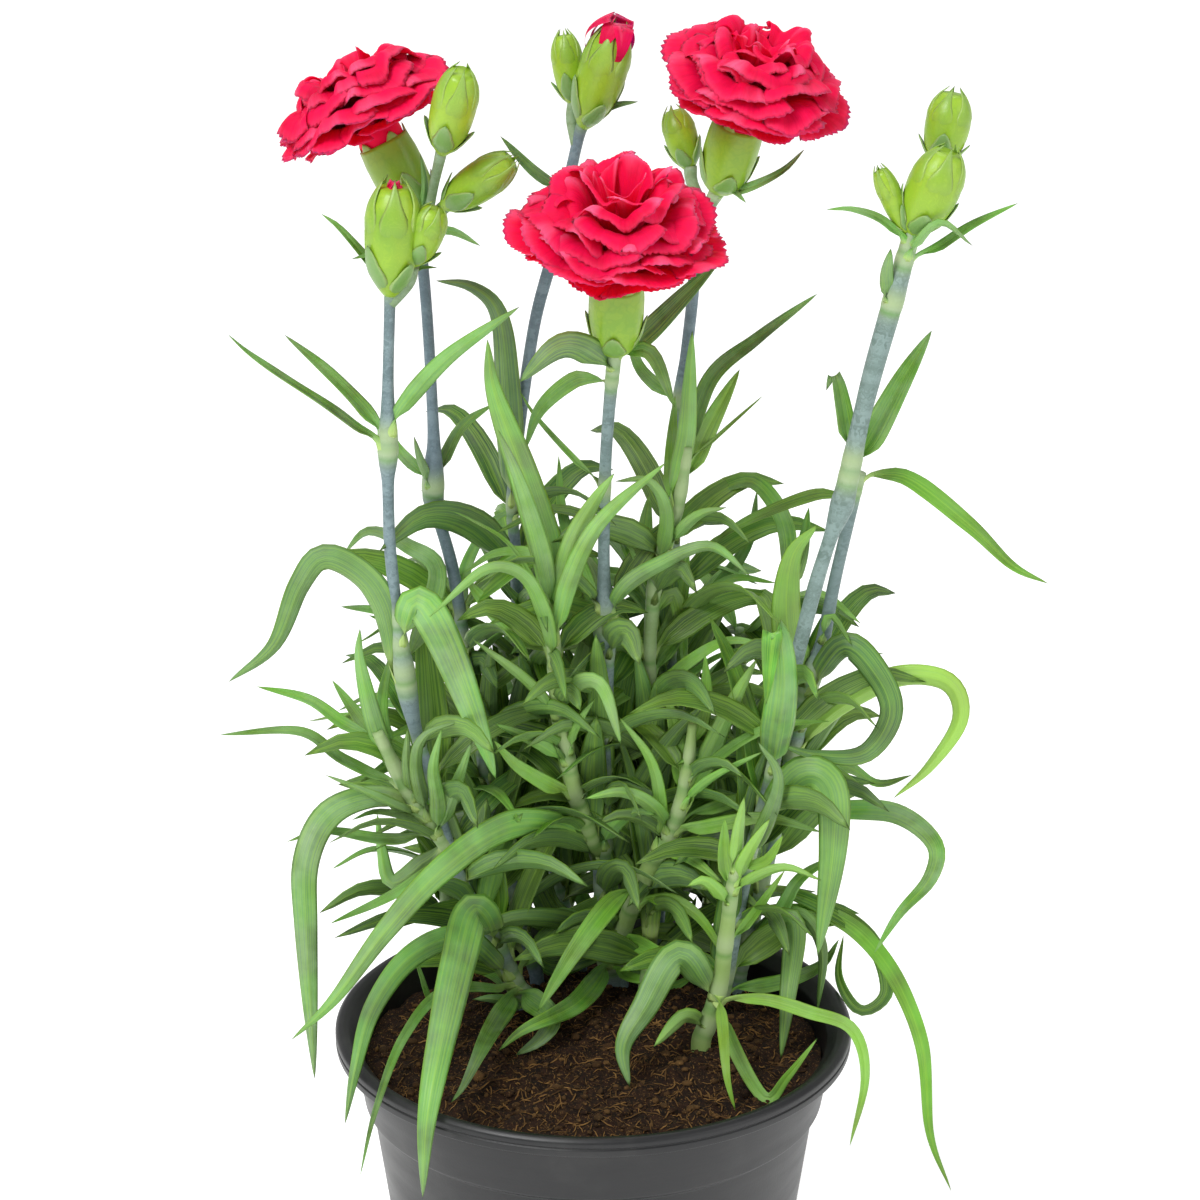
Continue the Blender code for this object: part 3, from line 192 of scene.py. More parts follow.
# Stems as (u, v, depth, radius), from the foot upwards.
STEMS = {
    "A": [(-15, 3, 18, 2.6), (-23, 20, 17, 2.2), (-29, 30, 15, 1.8), (-34, 43, 12, 1.6),
          (-38, 58, 9, 1.5), (-41, 68, 8, 1.5), (-43, 77, 7, 2.4), (-44, 84, 6, 2.3), (-45, 92, 6, 1.5),
          (-47, 110, 4, 1.4), (-47.5, 125, 3, 1.4), (-47.5, 132, 2, 2.3), (-47.5, 139, 2, 1.9),
          (-47.5, 150, 1, 1.3), (-47, 171, 0, 1.3)],
    "H": [(-33, 40, 12.5, 1.6), (-38, 47, 10, 1.8), (-42.3, 53.4, 8.4, 1.95), (-46, 60, 6, 1.7),
          (-50, 68, 4, 1.2)],
    "B": [(-13, 10, 33, 1.8), (-22, 45, 31, 1.6), (-28, 75, 28, 1.5), (-32, 103, 25, 1.5),
          (-36, 118, 22, 1.5), (-37, 122, 22, 2.5), (-37, 129, 21, 2.3), (-37, 138, 20, 1.4),
          (-38.5, 165, 18, 1.3), (-40.8, 190, 17.3, 1.4)],
    "C": [(-3, 14, 44, 1.7), (-12, 50, 42, 1.5), (-17, 93, 39, 1.5), (-18, 110, 38, 1.4),
          (-18.5, 125, 37, 1.4), (-14, 160, 35, 1.4), (-9, 180, 34, 1.5), (-4, 203, 33, 1.3),
          (-2, 210, 32, 1.5)],
    "D": [(5, 10, 32, 3.4), (4, 15, 31, 3.2), (3, 22, 30, 2.2), (2, 28, 29, 1.9), (2, 35, 28, 2.1),
          (2, 41, 27, 2.8), (2.5, 47, 26, 1.8), (2.8, 65, 22, 1.6), (3.5, 86, 18, 1.6), (3, 91, 17, 3.1),
          (3, 97, 16, 2.6), (2.5, 104, 15, 1.5), (2.7, 125, 10, 1.4), (3.5, 140, 5, 1.4),
          (5.1, 157, 0.4, 1.6)],
    "I": [(1, 40, 26, 1.8), (-1.5, 46, 21, 2.0), (-4, 53, 18, 2.0), (-6, 62, 16, 1.9), (-8, 72, 14, 1.8),
          (-9, 85, 12, 1.7), (-9.5, 98, 11, 1.2)],
    "J": [(4, 14, 30, 2.0), (8, 25, 25, 2.2), (11, 32, 21, 2.3), (14, 38, 18, 2.2), (17, 43, 16, 2.1),
          (20, 50, 14, 1.8), (22, 60, 12, 1.5), (23, 70, 11, 1.0)],
    "E": [(14, 12, 43, 1.7), (17, 50, 41, 1.5), (18.5, 100, 38, 1.4), (19.5, 140, 36, 1.4),
          (21.5, 155, 35, 1.4), (23, 168, 34, 1.4), (24.5, 184, 33, 1.4), (29.7, 195, 30.5, 1.7)],
    "L": [(12, 5, 21, 1.8), (14.5, 40, 27, 1.6), (13, 75, 26, 1.5), (14, 100, 24, 1.7),
          (17, 112, 22, 1.7), (20, 122, 20, 1.5), (22, 134, 18, 1.0)],
    "G": [(34, 12, 33, 1.8), (43, 48, 27, 1.6), (48, 72, 22, 2.3), (50, 80, 21, 2.8), (53, 88, 20, 1.8),
          (56, 103, 18, 1.5), (60, 120, 15, 1.4), (62, 128, 14, 1.2)],
    "M": [(47, 66, 23, 1.4), (45.5, 80, 26, 1.6), (44, 94, 28, 1.6), (44, 106, 29, 1.1)],
    "F": [(28, -1, 14, 2.0), (31, 12, 13, 1.8), (36, 38, 11, 1.6), (41, 57, 9, 1.5), (46, 80, 7, 1.7),
          (51, 100, 5, 1.8), (55, 113, 4, 1.7), (57.5, 120, 4, 2.8), (59, 126, 3, 2.4),
          (62, 140, 3, 2.1), (65, 152, 2, 2.3), (69, 166, 2, 2.4), (71.5, 175, 2, 2.2), (74, 184, 2, 1.7)],
    "K": [(25, -4, -4, 2.4), (29, 8, -4, 2.0), (30.5, 18, -5, 1.9), (32, 30, -6, 1.6), (34, 40, -7, 1.1)],
    "P": [(-30, 8, 35, 1.8), (-34, 30, 36, 1.7), (-32, 60, 38, 1.6), (-30, 85, 40, 1.1)],
    "Q": [(-12, 14, 48, 1.8), (0, 45, 54, 1.7), (4, 75, 55, 1.6), (6, 100, 54, 1.1)],
    "R": [(24, 14, 43, 1.8), (30, 45, 44, 1.7), (34, 72, 45, 1.6), (34, 92, 45, 1.1)],
}

# Stems that stand in the soil.
FOOTED = ["A", "B", "C", "D", "E", "L", "G", "F", "K", "P", "Q", "R"]

# Which stems hold together as one plant stem, with its side shoots.
NODES = {
    "stem_left_front": ["A", "H"],
    "stem_left_back": ["B"],
    "stem_middle_back": ["C"],
    "stem_middle": ["D", "I", "J"],
    "stem_right_back": ["E"],
    "shoot_tall": ["L"],
    "stem_right_middle": ["G", "M"],
    "stem_right_front": ["F"],
    "shoot_right_front": ["K"],
    "shoot_back_left": ["P"],
    "shoot_back_middle": ["Q"],
    "shoot_back_right": ["R"],
}

# Side stalks of the buds as (u, v, depth, radius).
STALKS = {
    "A": [[(-47, 167, 0, 1.3), (-43, 172, 1, 1.6), (-42, 176, 0, 1.8)]],
    "B": [[(-39, 183, 17, 1.2), (-37, 194, 10, 1.1), (-35, 203, 5, 1.4)],
          [(-39, 182, 17, 1.2), (-37, 187, 14, 1.5), (-34, 190, 12, 1.6)]],
    "C": [[(-4, 204, 33, 1.2), (-5, 210, 35, 1.3), (-4.5, 214, 36, 1.4)]],
    "E": [[(26, 189, 32, 1.2), (23, 195, 35, 1.4), (22.5, 199, 36, 1.6)]],
    "F": [[(73.5, 182, 2, 1.5), (78, 192, 12, 1.2), (80, 200, 14, 1.5)]],
}

# Buds as (root, tip, width), root and tip with their depth.
BUDS = {
    "A": [((-47, 169, 0.3), (-46, 196, -1), 13.5), ((-42, 176, 0), (-36, 190, -2), 9.0)],
    "B": [((-35, 202, 5), (-30, 222, -4), 11.0), ((-35, 189.5, 12), (-18, 201, 8), 10.0)],
    "C": [((-2.3, 208, 32.3), (6, 232, 28), 12.0), ((-4.5, 213, 36), (-7, 230.5, 38), 8.0)],
    "E": [((22.5, 198, 36), (18.5, 213, 41), 8.5)],
    "F": [((80, 199, 14), (84, 217, 15), 11.0), ((74, 183, 2), (83, 203.5, 0), 13.0),
          ((73, 183, 2), (66, 199, 0), 6.0)],
}

# Buds that show their petals, by stem and place in its list: mm out of the tip and share of the width.
OPENING_BUDS = {("C", 0): (1.6, 1.15), ("A", 0): (-0.2, 0.36)}

# Blooms: stem, foot of the calyx, a point on the axis, radius, how far the outer petals droop (less than
# nothing where they rise), and a factor on the height of the dome.
BLOOMS = {
    "bloom_left": {"stem": "B", "foot": (-40, 188, 17), "axis": (-52.5, 212, 20.5),
                   "radius": 25.0, "droop": 0.5, "dome": 0.8},
    "bloom_middle": {"stem": "D", "foot": (5, 155.5, 1), "axis": (6, 182, -6),
                     "radius": 27.0, "droop": -3.5, "dome": 1.15},
    "bloom_right": {"stem": "E", "foot": (29, 193, 31), "axis": (36.3, 217, 25.0),
                    "radius": 24.0, "droop": -1.5, "dome": 1.0},
}

# Leaves, by stem: picture points from root to tip, depth added at the middle and the tip, width, facing.
# Facing 1 turns the blade flat to the viewer, and 0 lets it lie as it grows.
LEAVES = {
    "A": [
        ([(-48, 133), (-51, 140), (-60, 150), (-71.5, 160)], (4, 8), 4.5, 0.51),
        ([(-48, 134), (-60, 142.5), (-78, 154.5), (-84.5, 160)], (-6, -14), 4.0, 0.44),
        ([(-47, 136), (-45, 142), (-34, 154.5), (-17, 166.5)], (-6, -12), 4.5, 0.72),
        ([(-44.5, 94), (-50, 96), (-58.5, 97)], (6, 12), 2.4, 0.65),
        ([(-43.3, 78), (-46.5, 92), (-52, 103), (-62, 108.5), (-68, 102), (-74, 88), (-84.5, 79.5)],
         (-5, -9), 7.3, 0.80),
        ([(-43.8, 82), (-36, 104), (-43, 111), (-52, 114.5), (-58, 109)], (16, 22), 5.0, 0.58),
        ([(-44.8, 89), (-41, 98), (-35, 90), (-27, 70), (-22.5, 57)], (-12, -12), 9.0, 0.93),
        ([(-52, 179), (-58, 184), (-63, 188)], (2, 5), 2.6, 0.65),
        ([(-22, 18), (-25, 25), (-28, 26), (-31, 15), (-35, -3), (-38.5, -22), (-39.5, -40)],
         (-56, -76), 9.5, 0.9),
        ([(-19, 12), (-30, 20), (-42, 16), (-51, 4), (-55, -10), (-57.5, -23)], (-34, -58), 6.5, 0.86),
        ([(-17, 7), (-24, -2), (-30, -14), (-33, -18)], (-22, -30), 5.5, 0.79),
        ([(-17, 6), (-10, 2), (-12, -3), (-18, -7)], (-14, -17), 6.5, 0.86),
        ([(-18, 8), (-34, 8), (-44, -3), (-50.5, -20), (-54, -35)], (-42, -66), 3.0, 0.58),
        ([(-27, 27), (-36, 6), (-40, 12), (-41, 18)], (-12, -16), 2.6, 0.58),
    ],
    "H": [
        ([(-48, 65), (-58, 70), (-66, 75.5), (-78, 78.5)], (5, 9), 3.6, 0.58),
        ([(-43, 54), (-58, 61.5), (-68, 68), (-86.5, 67.3)], (-3, -5), 3.6, 0.58),
        ([(-38, 47), (-50, 53), (-62, 58)], (-9, -15), 3.0, 0.58),
        ([(-45, 58), (-54, 71), (-60.5, 80)], (8, 14), 4.2, 0.72),
        ([(-44, 57), (-50, 68), (-54, 84), (-54, 92)], (-4, -6), 5.0, 0.79),
        ([(-45, 59), (-49, 72), (-47, 86)], (5, 8), 3.8, 0.72),
        ([(-41, 52), (-43, 60), (-43, 69)], (-8, -10), 3.6, 0.72),
        ([(-38, 47), (-41, 60), (-39, 67), (-31, 70.5)], (-10, -14), 3.8, 0.65),
        ([(-36, 44), (-36, 52), (-37, 60), (-35, 69)], (-16, -20), 4.2, 0.79),
        ([(-36, 44), (-33, 52), (-28, 66)], (-12, -14), 4.2, 0.72),
        ([(-40, 50), (-50, 53), (-61, 49), (-66.5, 38), (-66.5, 22), (-64.5, -12.5)], (-22, -34), 7.0, 0.9),
        ([(-36, 44), (-48, 43), (-62, 45), (-71, 42.5)], (-12, -20), 3.4, 0.58),
        ([(-35, 42), (-46, 33), (-49, 41), (-50, 49)], (8, 10), 5.0, 0.72),
        ([(-33, 40), (-45, 31), (-61, 23.5)], (-8, -14), 3.0, 0.58),
    ],
    "B": [
        ([(-37, 124), (-34, 132), (-30, 139), (-23, 144)], (3, 8), 3.6, 0.65),
        ([(-37, 124), (-41, 129), (-46, 134.5), (-49, 142)], (5, 12), 3.2, 0.65),
        ([(-39, 184), (-33, 184), (-26, 180.5)], (-5, -8), 2.4, 0.65),
        ([(-23, 48), (-34, 66), (-44, 74), (-56, 74)], (12, 22), 4.2, 0.51),
        ([(-26, 66), (-22, 84), (-16, 93), (-9, 96)], (12, 22), 4.2, 0.51),
        ([(-30, 88), (-30, 104), (-24, 116), (-17, 120)], (7, 13), 3.6, 0.65),
    ],
    "C": [
        ([(-6, 194), (-14, 198), (-21.5, 206)], (2, 4), 3.2, 0.72),
        ([(-18, 120), (-20, 150), (-22, 165), (-28, 171), (-36.5, 172.5)], (-3, -4), 7.0, 0.86),
        ([(-17, 92), (-22, 106), (-29, 117), (-40, 124)], (6, 14), 4.0, 0.58),
        ([(-17, 94), (-10, 110), (-2, 118), (6, 120)], (10, 20), 4.0, 0.58),
        ([(-2, 209), (5, 213), (10.5, 214)], (-3, -5), 2.2, 0.58),
    ],
    "D": [
        ([(4.5, 151), (-3, 157), (-9, 156.5), (-17, 149)], (-12, -14), 7.5, 0.79),
        ([(4, 149), (-3, 150), (-12, 143), (-16, 133)], (8, 13), 4.5, 0.65),
        ([(6, 153), (12, 160), (21, 169), (30, 178)], (15, 22), 5.5, 0.79),
        ([(6, 153), (13, 156), (19, 143)], (-5, -9), 4.0, 0.72),
        ([(3, 125), (-8, 135), (-14, 142), (-17, 147)], (6, 12), 1.8, 0.65),
        ([(3, 94), (7, 101), (15, 106.5), (27, 111), (36.5, 104)], (-10, -14), 4.6, 0.65),
        ([(3, 93), (-2, 104), (-7, 118), (-8, 132)], (14, 20), 3.8, 0.65),
        ([(2, 41), (5, 46.5), (10, 49.5), (15, 48.5)], (-13, -17), 4.6, 0.86),
        ([(2, 41), (-7, 46), (-20, 46), (-35, 36), (-48, 22), (-60, 6), (-70, -3.5)], (-44, -66), 7.5, 0.9),
        ([(4, 14), (-4, 5), (-16, -1), (-22, -6)], (-20, -28), 6.0, 0.79),
        ([(4, 16), (-2, 24), (-8, 26.5), (-15, 22.8)], (-6, -10), 3.0, 0.65),
        ([(4, 13), (10, 11.5), (18, 9), (24, 12)], (8, 12), 4.0, 0.72),
        ([(3.5, 18), (-4, 32), (-9, 38), (-16, 44)], (10, 16), 4.5, 0.72),
        ([(4, 14), (-2, 16), (-10, 14), (-17, 21)], (8, 14), 7.5, 0.79),
    ],
    "I": [
        ([(-9, 94), (-11, 110), (-16, 127), (-23, 147), (-24.5, 159)], (-6, -8), 8.5, 0.9),
        ([(-9.3, 96), (-12, 110), (-17, 126), (-22, 138)], (-13, -18), 4.8, 0.79),
        ([(-9, 82), (-11, 94), (-16, 104), (-25, 105.5), (-38, 94.5)], (-14, -20), 4.2, 0.72),
        ([(-9, 94), (-5, 111), (0, 121), (5, 128)], (-8, -12), 6.0, 0.86),
        ([(-8.6, 88), (-5, 104), (2, 117), (17, 130.5)], (-14, -22), 5.0, 0.79),
        ([(-8, 73), (-4, 79), (2, 78.5), (6.5, 65)], (-11, -13), 4.4, 0.86),
        ([(-6, 62), (-4, 69), (0.5, 76)], (-4, -6), 2.4, 0.65),
        ([(-8, 71), (-15, 79.5), (-28, 89.5)], (-6, -8), 3.4, 0.65),
        ([(-6, 60), (-13, 65.5), (-23, 70)], (-8, -12), 3.6, 0.72),
        ([(-4, 52), (-10, 55.5), (-18, 60.5), (-23, 66)], (-6, -9), 4.2, 0.79),
        ([(-9, 86), (-16, 90), (-24, 97), (-30, 104)], (10, 16), 6.0, 0.65),
        ([(-8, 72), (-2, 88), (-1, 102)], (5, 8), 4.0, 0.65),
        ([(-6.5, 65), (-1, 71), (9, 77), (17, 76)], (9, 16), 4.0, 0.58),
    ],
    "J": [
        ([(17, 44), (14, 50.5), (7, 54), (-2, 52.5)], (-9, -14), 4.4, 0.79),
        ([(15, 40), (15.5, 52), (13, 62), (6, 71.5)], (-6, -9), 3.6, 0.72),
        ([(20, 50), (20, 62), (17, 78)], (4, 7), 4.4, 0.79),
        ([(19.5, 49), (26, 61), (32, 74), (38, 85)], (-3, -6), 5.6, 0.86),
        ([(20, 50), (27, 57), (39.5, 63.5)], (-9, -13), 3.0, 0.58),
        ([(19, 47), (30, 51), (40, 54), (51, 54.5)], (4, 8), 3.6, 0.58),
        ([(18, 44), (27, 46), (40, 48), (53, 44.7)], (-9, -12), 4.2, 0.65),
        ([(21, 55), (33, 65), (43, 69.5), (55, 70.5)], (-7, -10), 3.4, 0.58),
        ([(15.5, 40.5), (22, 39), (30, 33)], (-12, -16), 3.6, 0.65),
        ([(11, 32), (5, 29), (-4, 17.5), (-13, 3)], (-16, -24), 5.6, 0.86),
        ([(10, 28), (18, 29), (25, 24.5), (31, 15)], (-9, -12), 3.6, 0.65),
        ([(7, 21), (13, 17.5), (22, 13)], (-7, -12), 4.6, 0.79),
        ([(22, 62), (26, 74), (26, 86)], (5, 7), 4.0, 0.72),
    ],
    "K": [
        ([(32, 30), (30.5, 38), (30.5, 48)], (4, 6), 3.8, 0.72),
        ([(32.5, 32), (36, 40), (41, 48)], (-3, -5), 3.8, 0.72),
        ([(33, 35), (33.5, 44), (35, 53)], (-2, -4), 3.6, 0.72),
        ([(32, 30), (38, 34.5), (45, 36.5), (53, 33.5)], (-7, -10), 3.4, 0.65),
        ([(30.5, 18), (36, 24), (44.5, 36)], (7, 12), 2.8, 0.65),
        ([(31.5, 28), (26, 33.5), (21.5, 32)], (-6, -8), 3.8, 0.79),
        ([(29, 8), (30, 0), (31, -12), (33, -20)], (-17, -23), 3.0, 0.58),
        ([(28, 6), (20, 16), (12, 4), (7, -5), (8.5, -14.5)], (-12, -23), 8.5, 0.86),
        ([(26, 0), (21, 2), (14, -5)], (-8, -16), 4.6, 0.79),
        ([(28, 5), (39, 6), (50, 3), (60, -1), (63, -12), (59.5, -28)], (-12, -36), 3.6, 0.72),
        ([(29, 6), (33, -6), (40, -17), (45, -12), (52, -3)], (-18, -21), 3.6, 0.72),
    ],
    "L": [
        ([(19, 119), (21.5, 135), (23, 161)], (-3, -4), 5.0, 0.86),
        ([(20, 123), (26, 137), (34, 152)], (3, 4), 5.4, 0.86),
        ([(18, 116), (18, 130), (19, 146)], (6, 9), 3.6, 0.72),
        ([(21, 129), (27, 149), (38, 159), (52, 169.5)], (6, 10), 4.6, 0.72),
        ([(17, 111), (24, 118), (31, 120)], (-5, -8), 3.4, 0.65),
        ([(15, 105), (17, 118), (13, 126), (5, 126)], (-5, -7), 4.0, 0.65),
        ([(14, 100), (12, 112), (13, 123)], (5, 8), 5.0, 0.79),
        ([(13.5, 78), (21, 92), (31, 103), (42.5, 102.5)], (8, 14), 4.2, 0.58),
        ([(13.2, 80), (20, 98), (22, 112)], (10, 14), 4.6, 0.72),
        ([(13, 76), (22, 84), (31, 89), (41, 88)], (-7, -10), 3.6, 0.58),
        ([(13.5, 70), (6, 82), (-1, 88), (-10, 88)], (8, 14), 4.0, 0.58),
        ([(14.5, 42), (26, 54), (28, 66)], (8, 14), 4.6, 0.58),
        ([(14.5, 44), (5, 58), (-4, 62)], (8, 14), 4.6, 0.58),
    ],
    "G": [
        ([(49, 76), (58, 88), (66, 81), (69, 72), (63, 63), (52, 62.5), (43, 65)], (-14, -18), 7.0, 0.79),
        ([(50, 80), (45, 92), (46, 108), (52, 116)], (-8, -8), 8.0, 0.9),
        ([(46, 64), (56, 73), (70, 80.5), (82, 79.5), (85, 71), (78, 60), (69.5, 52.5)],
         (-6, -14), 6.0, 0.79),
        ([(44, 52), (55, 50), (70, 49), (79, 42), (78, 34), (71, 26), (65, 16.5)], (-10, -20), 5.4, 0.79),
        ([(62, 126), (72, 127), (87, 116), (97, 106.5), (105.5, 102.3)], (-2, -6), 4.6, 0.65),
        ([(61, 123), (50, 122.5), (35, 116.5), (25, 110)], (10, 14), 3.4, 0.58),
        ([(39, 32), (52, 28), (64, 20), (68, 8), (62, 3.5), (57, 11), (58, 21)], (-14, -16), 5.0, 0.72),
        ([(38, 28), (56, 25), (68, 14), (76, -4), (78, -25), (83, -38.5)], (-20, -38), 4.8, 0.72),
        ([(36, 20), (46, 24), (45, 6), (43.5, -8)], (-22, -32), 6.5, 0.86),
        ([(45, 58), (58, 60), (66, 56), (74, 58)], (16, 26), 4.2, 0.51),
    ],
    "M": [
        ([(44, 100), (44.5, 114), (38, 125.5), (30, 124.5), (20, 119)], (3, 5), 5.0, 0.65),
        ([(44, 98), (48, 108), (50, 120)], (5, 8), 4.2, 0.65),
    ],
    "F": [
        ([(60, 128), (65, 137), (72, 150), (78.5, 161)], (6, 9), 6.5, 0.86),
        ([(60, 130), (58, 143), (56, 151), (54, 147)], (4, 7), 4.6, 0.79),
        ([(70, 166), (68, 173), (69, 180)], (-2, -4), 3.6, 0.72),
        ([(72, 177), (78, 179), (88, 185.5), (98.5, 190.5)], (2, 4), 2.8, 0.65),
        ([(73, 180), (67, 186.5), (60, 189), (54, 189)], (-5, -7), 2.4, 0.65),
        ([(72, 177), (80, 186), (88, 180.5)], (-5, -7), 2.4, 0.65),
        ([(41, 57), (44, 80), (42, 92), (40, 74)], (-14, -17), 8.5, 0.93),
        ([(38, 46), (48, 58), (55, 55), (55.5, 40), (52, 16)], (-16, -24), 9.0, 0.93),
        ([(36, 38), (43, 56), (38, 66)], (-12, -13), 4.4, 0.65),
        ([(31, 12), (42, 24), (48, 34), (58, 40)], (10, 18), 4.4, 0.51),
        ([(30, 8), (44, 10), (53, 14), (57, 20)], (3, 6), 4.4, 0.65),
    ],
    "E": [
        ([(27, 191), (36, 194), (44, 198), (49, 203)], (-7, -10), 2.8, 0.65),
        ([(20, 145), (11, 152), (8, 162)], (8, 12), 3.6, 0.58),
        ([(18, 90), (28, 100), (36, 112), (38, 124)], (8, 12), 4.4, 0.58),
        ([(18, 88), (10, 100), (-2, 106), (-10, 114)], (8, 12), 4.0, 0.58),
    ],
}

# Small leaves and bracts that only the fine model has, given as the other leaves are.
SMALL_LEAVES = {
    "A": [
        ([(-47, 171), (-51, 178), (-56, 177.5)], (0, 0), 1.8, 0.7),
        ([(-46.8, 169), (-41, 175), (-36, 175.5)], (2, 2), 1.8, 0.7),
        ([(-44.8, 90), (-47, 93), (-52, 95)], (4, 8), 1.4, 0.6),
        ([(-17, 4), (-22, 6), (-28, 6)], (-8, -10), 4.0, 0.8),
        ([(-19, 8), (-23, 12), (-28, 13)], (6, 10), 4.5, 0.7),
    ],
    "H": [([(-36, 43), (-41, 47.5), (-50, 49.5), (-56, 47.5)], (-6, -8), 2.5, 0.7)],
    "B": [
        ([(-39, 188), (-39, 194), (-40, 202)], (-6, -8), 2.0, 0.7),
        ([(-37, 126), (-40, 131), (-41.5, 136.5)], (-4, -6), 2.4, 0.7),
    ],
    "D": [
        ([(3, 20), (-8, 27), (-11, 34), (-15, 42)], (8, 12), 3.5, 0.7),
        ([(4, 15), (12, 14), (20, 20), (24, 30)], (6, 10), 5.0, 0.7),
        ([(4, 16), (-6, 20), (-14, 34), (-16, 48)], (6, 8), 6.0, 0.8),
    ],
    "E": [([(28, 191), (32, 193.5), (35.5, 190.5)], (-4, -6), 2.2, 0.7)],
    "F": [([(73, 181), (76, 186), (79, 192)], (-3, -4), 2.2, 0.6)],
    "I": [
        ([(-9, 90), (-12, 107.5), (-22, 109.5), (-31, 104)], (8, 14), 3.0, 0.7),
        ([(-9.5, 96), (-19, 111), (-28, 117), (-32.5, 119)], (4, 6), 1.4, 0.6),
    ],
    "J": [([(6, 12), (9, 11), (17, 10)], (-8, -10), 3.0, 0.7)],
    "K": [([(34, 36), (40, 38), (44, 44)], (-2, -4), 3.0, 0.7)],
    "L": [
        ([(21, 130), (30, 137.5), (39.5, 146)], (4, 6), 1.2, 0.6),
        ([(15, 104), (11, 106), (8, 112), (5, 118)], (-2, -3), 1.4, 0.7),
        ([(14, 92), (18, 100), (20, 95), (21, 85), (20, 80)], (6, 8), 4.0, 0.7),
        ([(13, 76), (22, 81), (28, 85), (34, 87), (42, 88)], (-3, -4), 2.0, 0.6),
    ],
    "G": [
        ([(36, 20), (47, 26), (53, 18), (52, 3)], (-14, -20), 4.0, 0.8),
        ([(53, 88), (55, 95), (60, 88)], (-4, -8), 2.5, 0.7),
    ],
}

# Hidden leaves, in crossed pairs on the back shoots: stem, first and last share of the stem, pairs, length.
CROSSED_PAIRS = [
    ("P", 0.35, 0.95, 4, 48.0),
    ("Q", 0.40, 0.95, 4, 50.0),
    ("R", 0.35, 0.95, 4, 48.0),
]

# Inner leaves that fill the plant between its stems, painted dark as shade, given as the crossed pairs are.
INNER_PAIRS = [
    ("A", 0.06, 0.42, 8, 42.0),
    ("B", 0.05, 0.50, 9, 48.0),
    ("C", 0.05, 0.56, 10, 52.0),
    ("D", 0.08, 0.60, 9, 44.0),
    ("E", 0.05, 0.56, 10, 50.0),
    ("L", 0.06, 0.80, 9, 44.0),
    ("G", 0.06, 0.62, 7, 40.0),
    ("F", 0.06, 0.44, 6, 38.0),
    ("I", 0.10, 0.80, 5, 30.0),
    ("J", 0.15, 0.80, 4, 28.0),
    ("P", 0.20, 0.90, 4, 40.0),
    ("Q", 0.20, 0.90, 5, 44.0),
    ("R", 0.20, 0.90, 4, 40.0),
]

# Broad upright leaves that rise from the low part of a stem, drawn dark as painted shade: how many, and how
# long.
UPRIGHT_LEAVES = {
    "A": (7, 60.0), "B": (9, 78.0), "C": (11, 84.0), "D": (13, 72.0), "E": (9, 80.0), "I": (5, 46.0),
    "L": (9, 74.0), "G": (9, 72.0), "F": (5, 56.0), "P": (4, 60.0), "Q": (4, 66.0), "R": (4, 62.0),
}

# How each stem's leaves look: waxy blue bloom, young yellow-green and dark shade, each from 0 to 1.
LEAF_LOOKS = {
    "A": (0.50, 0.10, 0.35), "H": (0.45, 0.20, 0.25), "B": (0.65, 0.05, 0.50), "C": (0.50, 0.00, 0.75),
    "D": (0.40, 0.15, 0.35), "I": (0.40, 0.40, 0.10), "J": (0.35, 0.40, 0.10), "K": (0.25, 0.55, 0.10),
    "L": (0.40, 0.30, 0.25), "G": (0.15, 0.20, 0.55), "M": (0.40, 0.10, 0.60), "F": (0.45, 0.15, 0.30),
    "E": (0.60, 0.05, 0.55), "P": (0.30, 0.20, 0.45), "Q": (0.30, 0.20, 0.55), "R": (0.30, 0.25, 0.45),
}

# How each stem looks: young yellow-green and dark slate, each from 0 to 1.
STEM_LOOKS = {
    "A": (0.05, 0.2), "H": (0.75, 0.0), "B": (0.0, 0.7), "C": (0.0, 0.55), "D": (0.1, 0.35),
    "I": (0.9, 0.0), "J": (0.9, 0.0), "E": (0.0, 0.5), "L": (0.7, 0.1), "G": (0.1, 0.6),
    "M": (0.3, 0.6), "F": (0.15, 0.1), "K": (0.9, 0.0), "P": (0.6, 0.2), "Q": (0.6, 0.3),
    "R": (0.6, 0.2),
}

# Leaves that look unlike the rest of their stem's, by stem and place in its list.
LEAF_TINTS = {
    ("G", 0): (0.00, 0.00, 0.80), ("G", 2): (0.00, 0.85, 0.00), ("G", 3): (0.60, 0.15, 0.15),
    ("G", 6): (0.00, 0.05, 0.80), ("G", 7): (0.10, 0.35, 0.15), ("G", 1): (0.05, 0.45, 0.25),
    ("A", 4): (0.30, 0.10, 0.50), ("A", 6): (0.45, 0.15, 0.10), ("A", 8): (0.25, 0.10, 0.40),
    ("A", 9): (0.25, 0.05, 0.50), ("C", 1): (0.15, 0.00, 0.90), ("D", 0): (0.30, 0.05, 0.80),
    ("D", 2): (0.20, 0.00, 0.80), ("D", 8): (0.25, 0.15, 0.30), ("D", 13): (0.10, 0.10, 0.70),
    ("F", 6): (0.45, 0.10, 0.15), ("F", 7): (0.20, 0.30, 0.10), ("K", 7): (0.30, 0.10, 0.45),
    ("I", 0): (0.20, 0.35, 0.15), ("L", 1): (0.30, 0.45, 0.00), ("L", 3): (0.55, 0.05, 0.25),
}

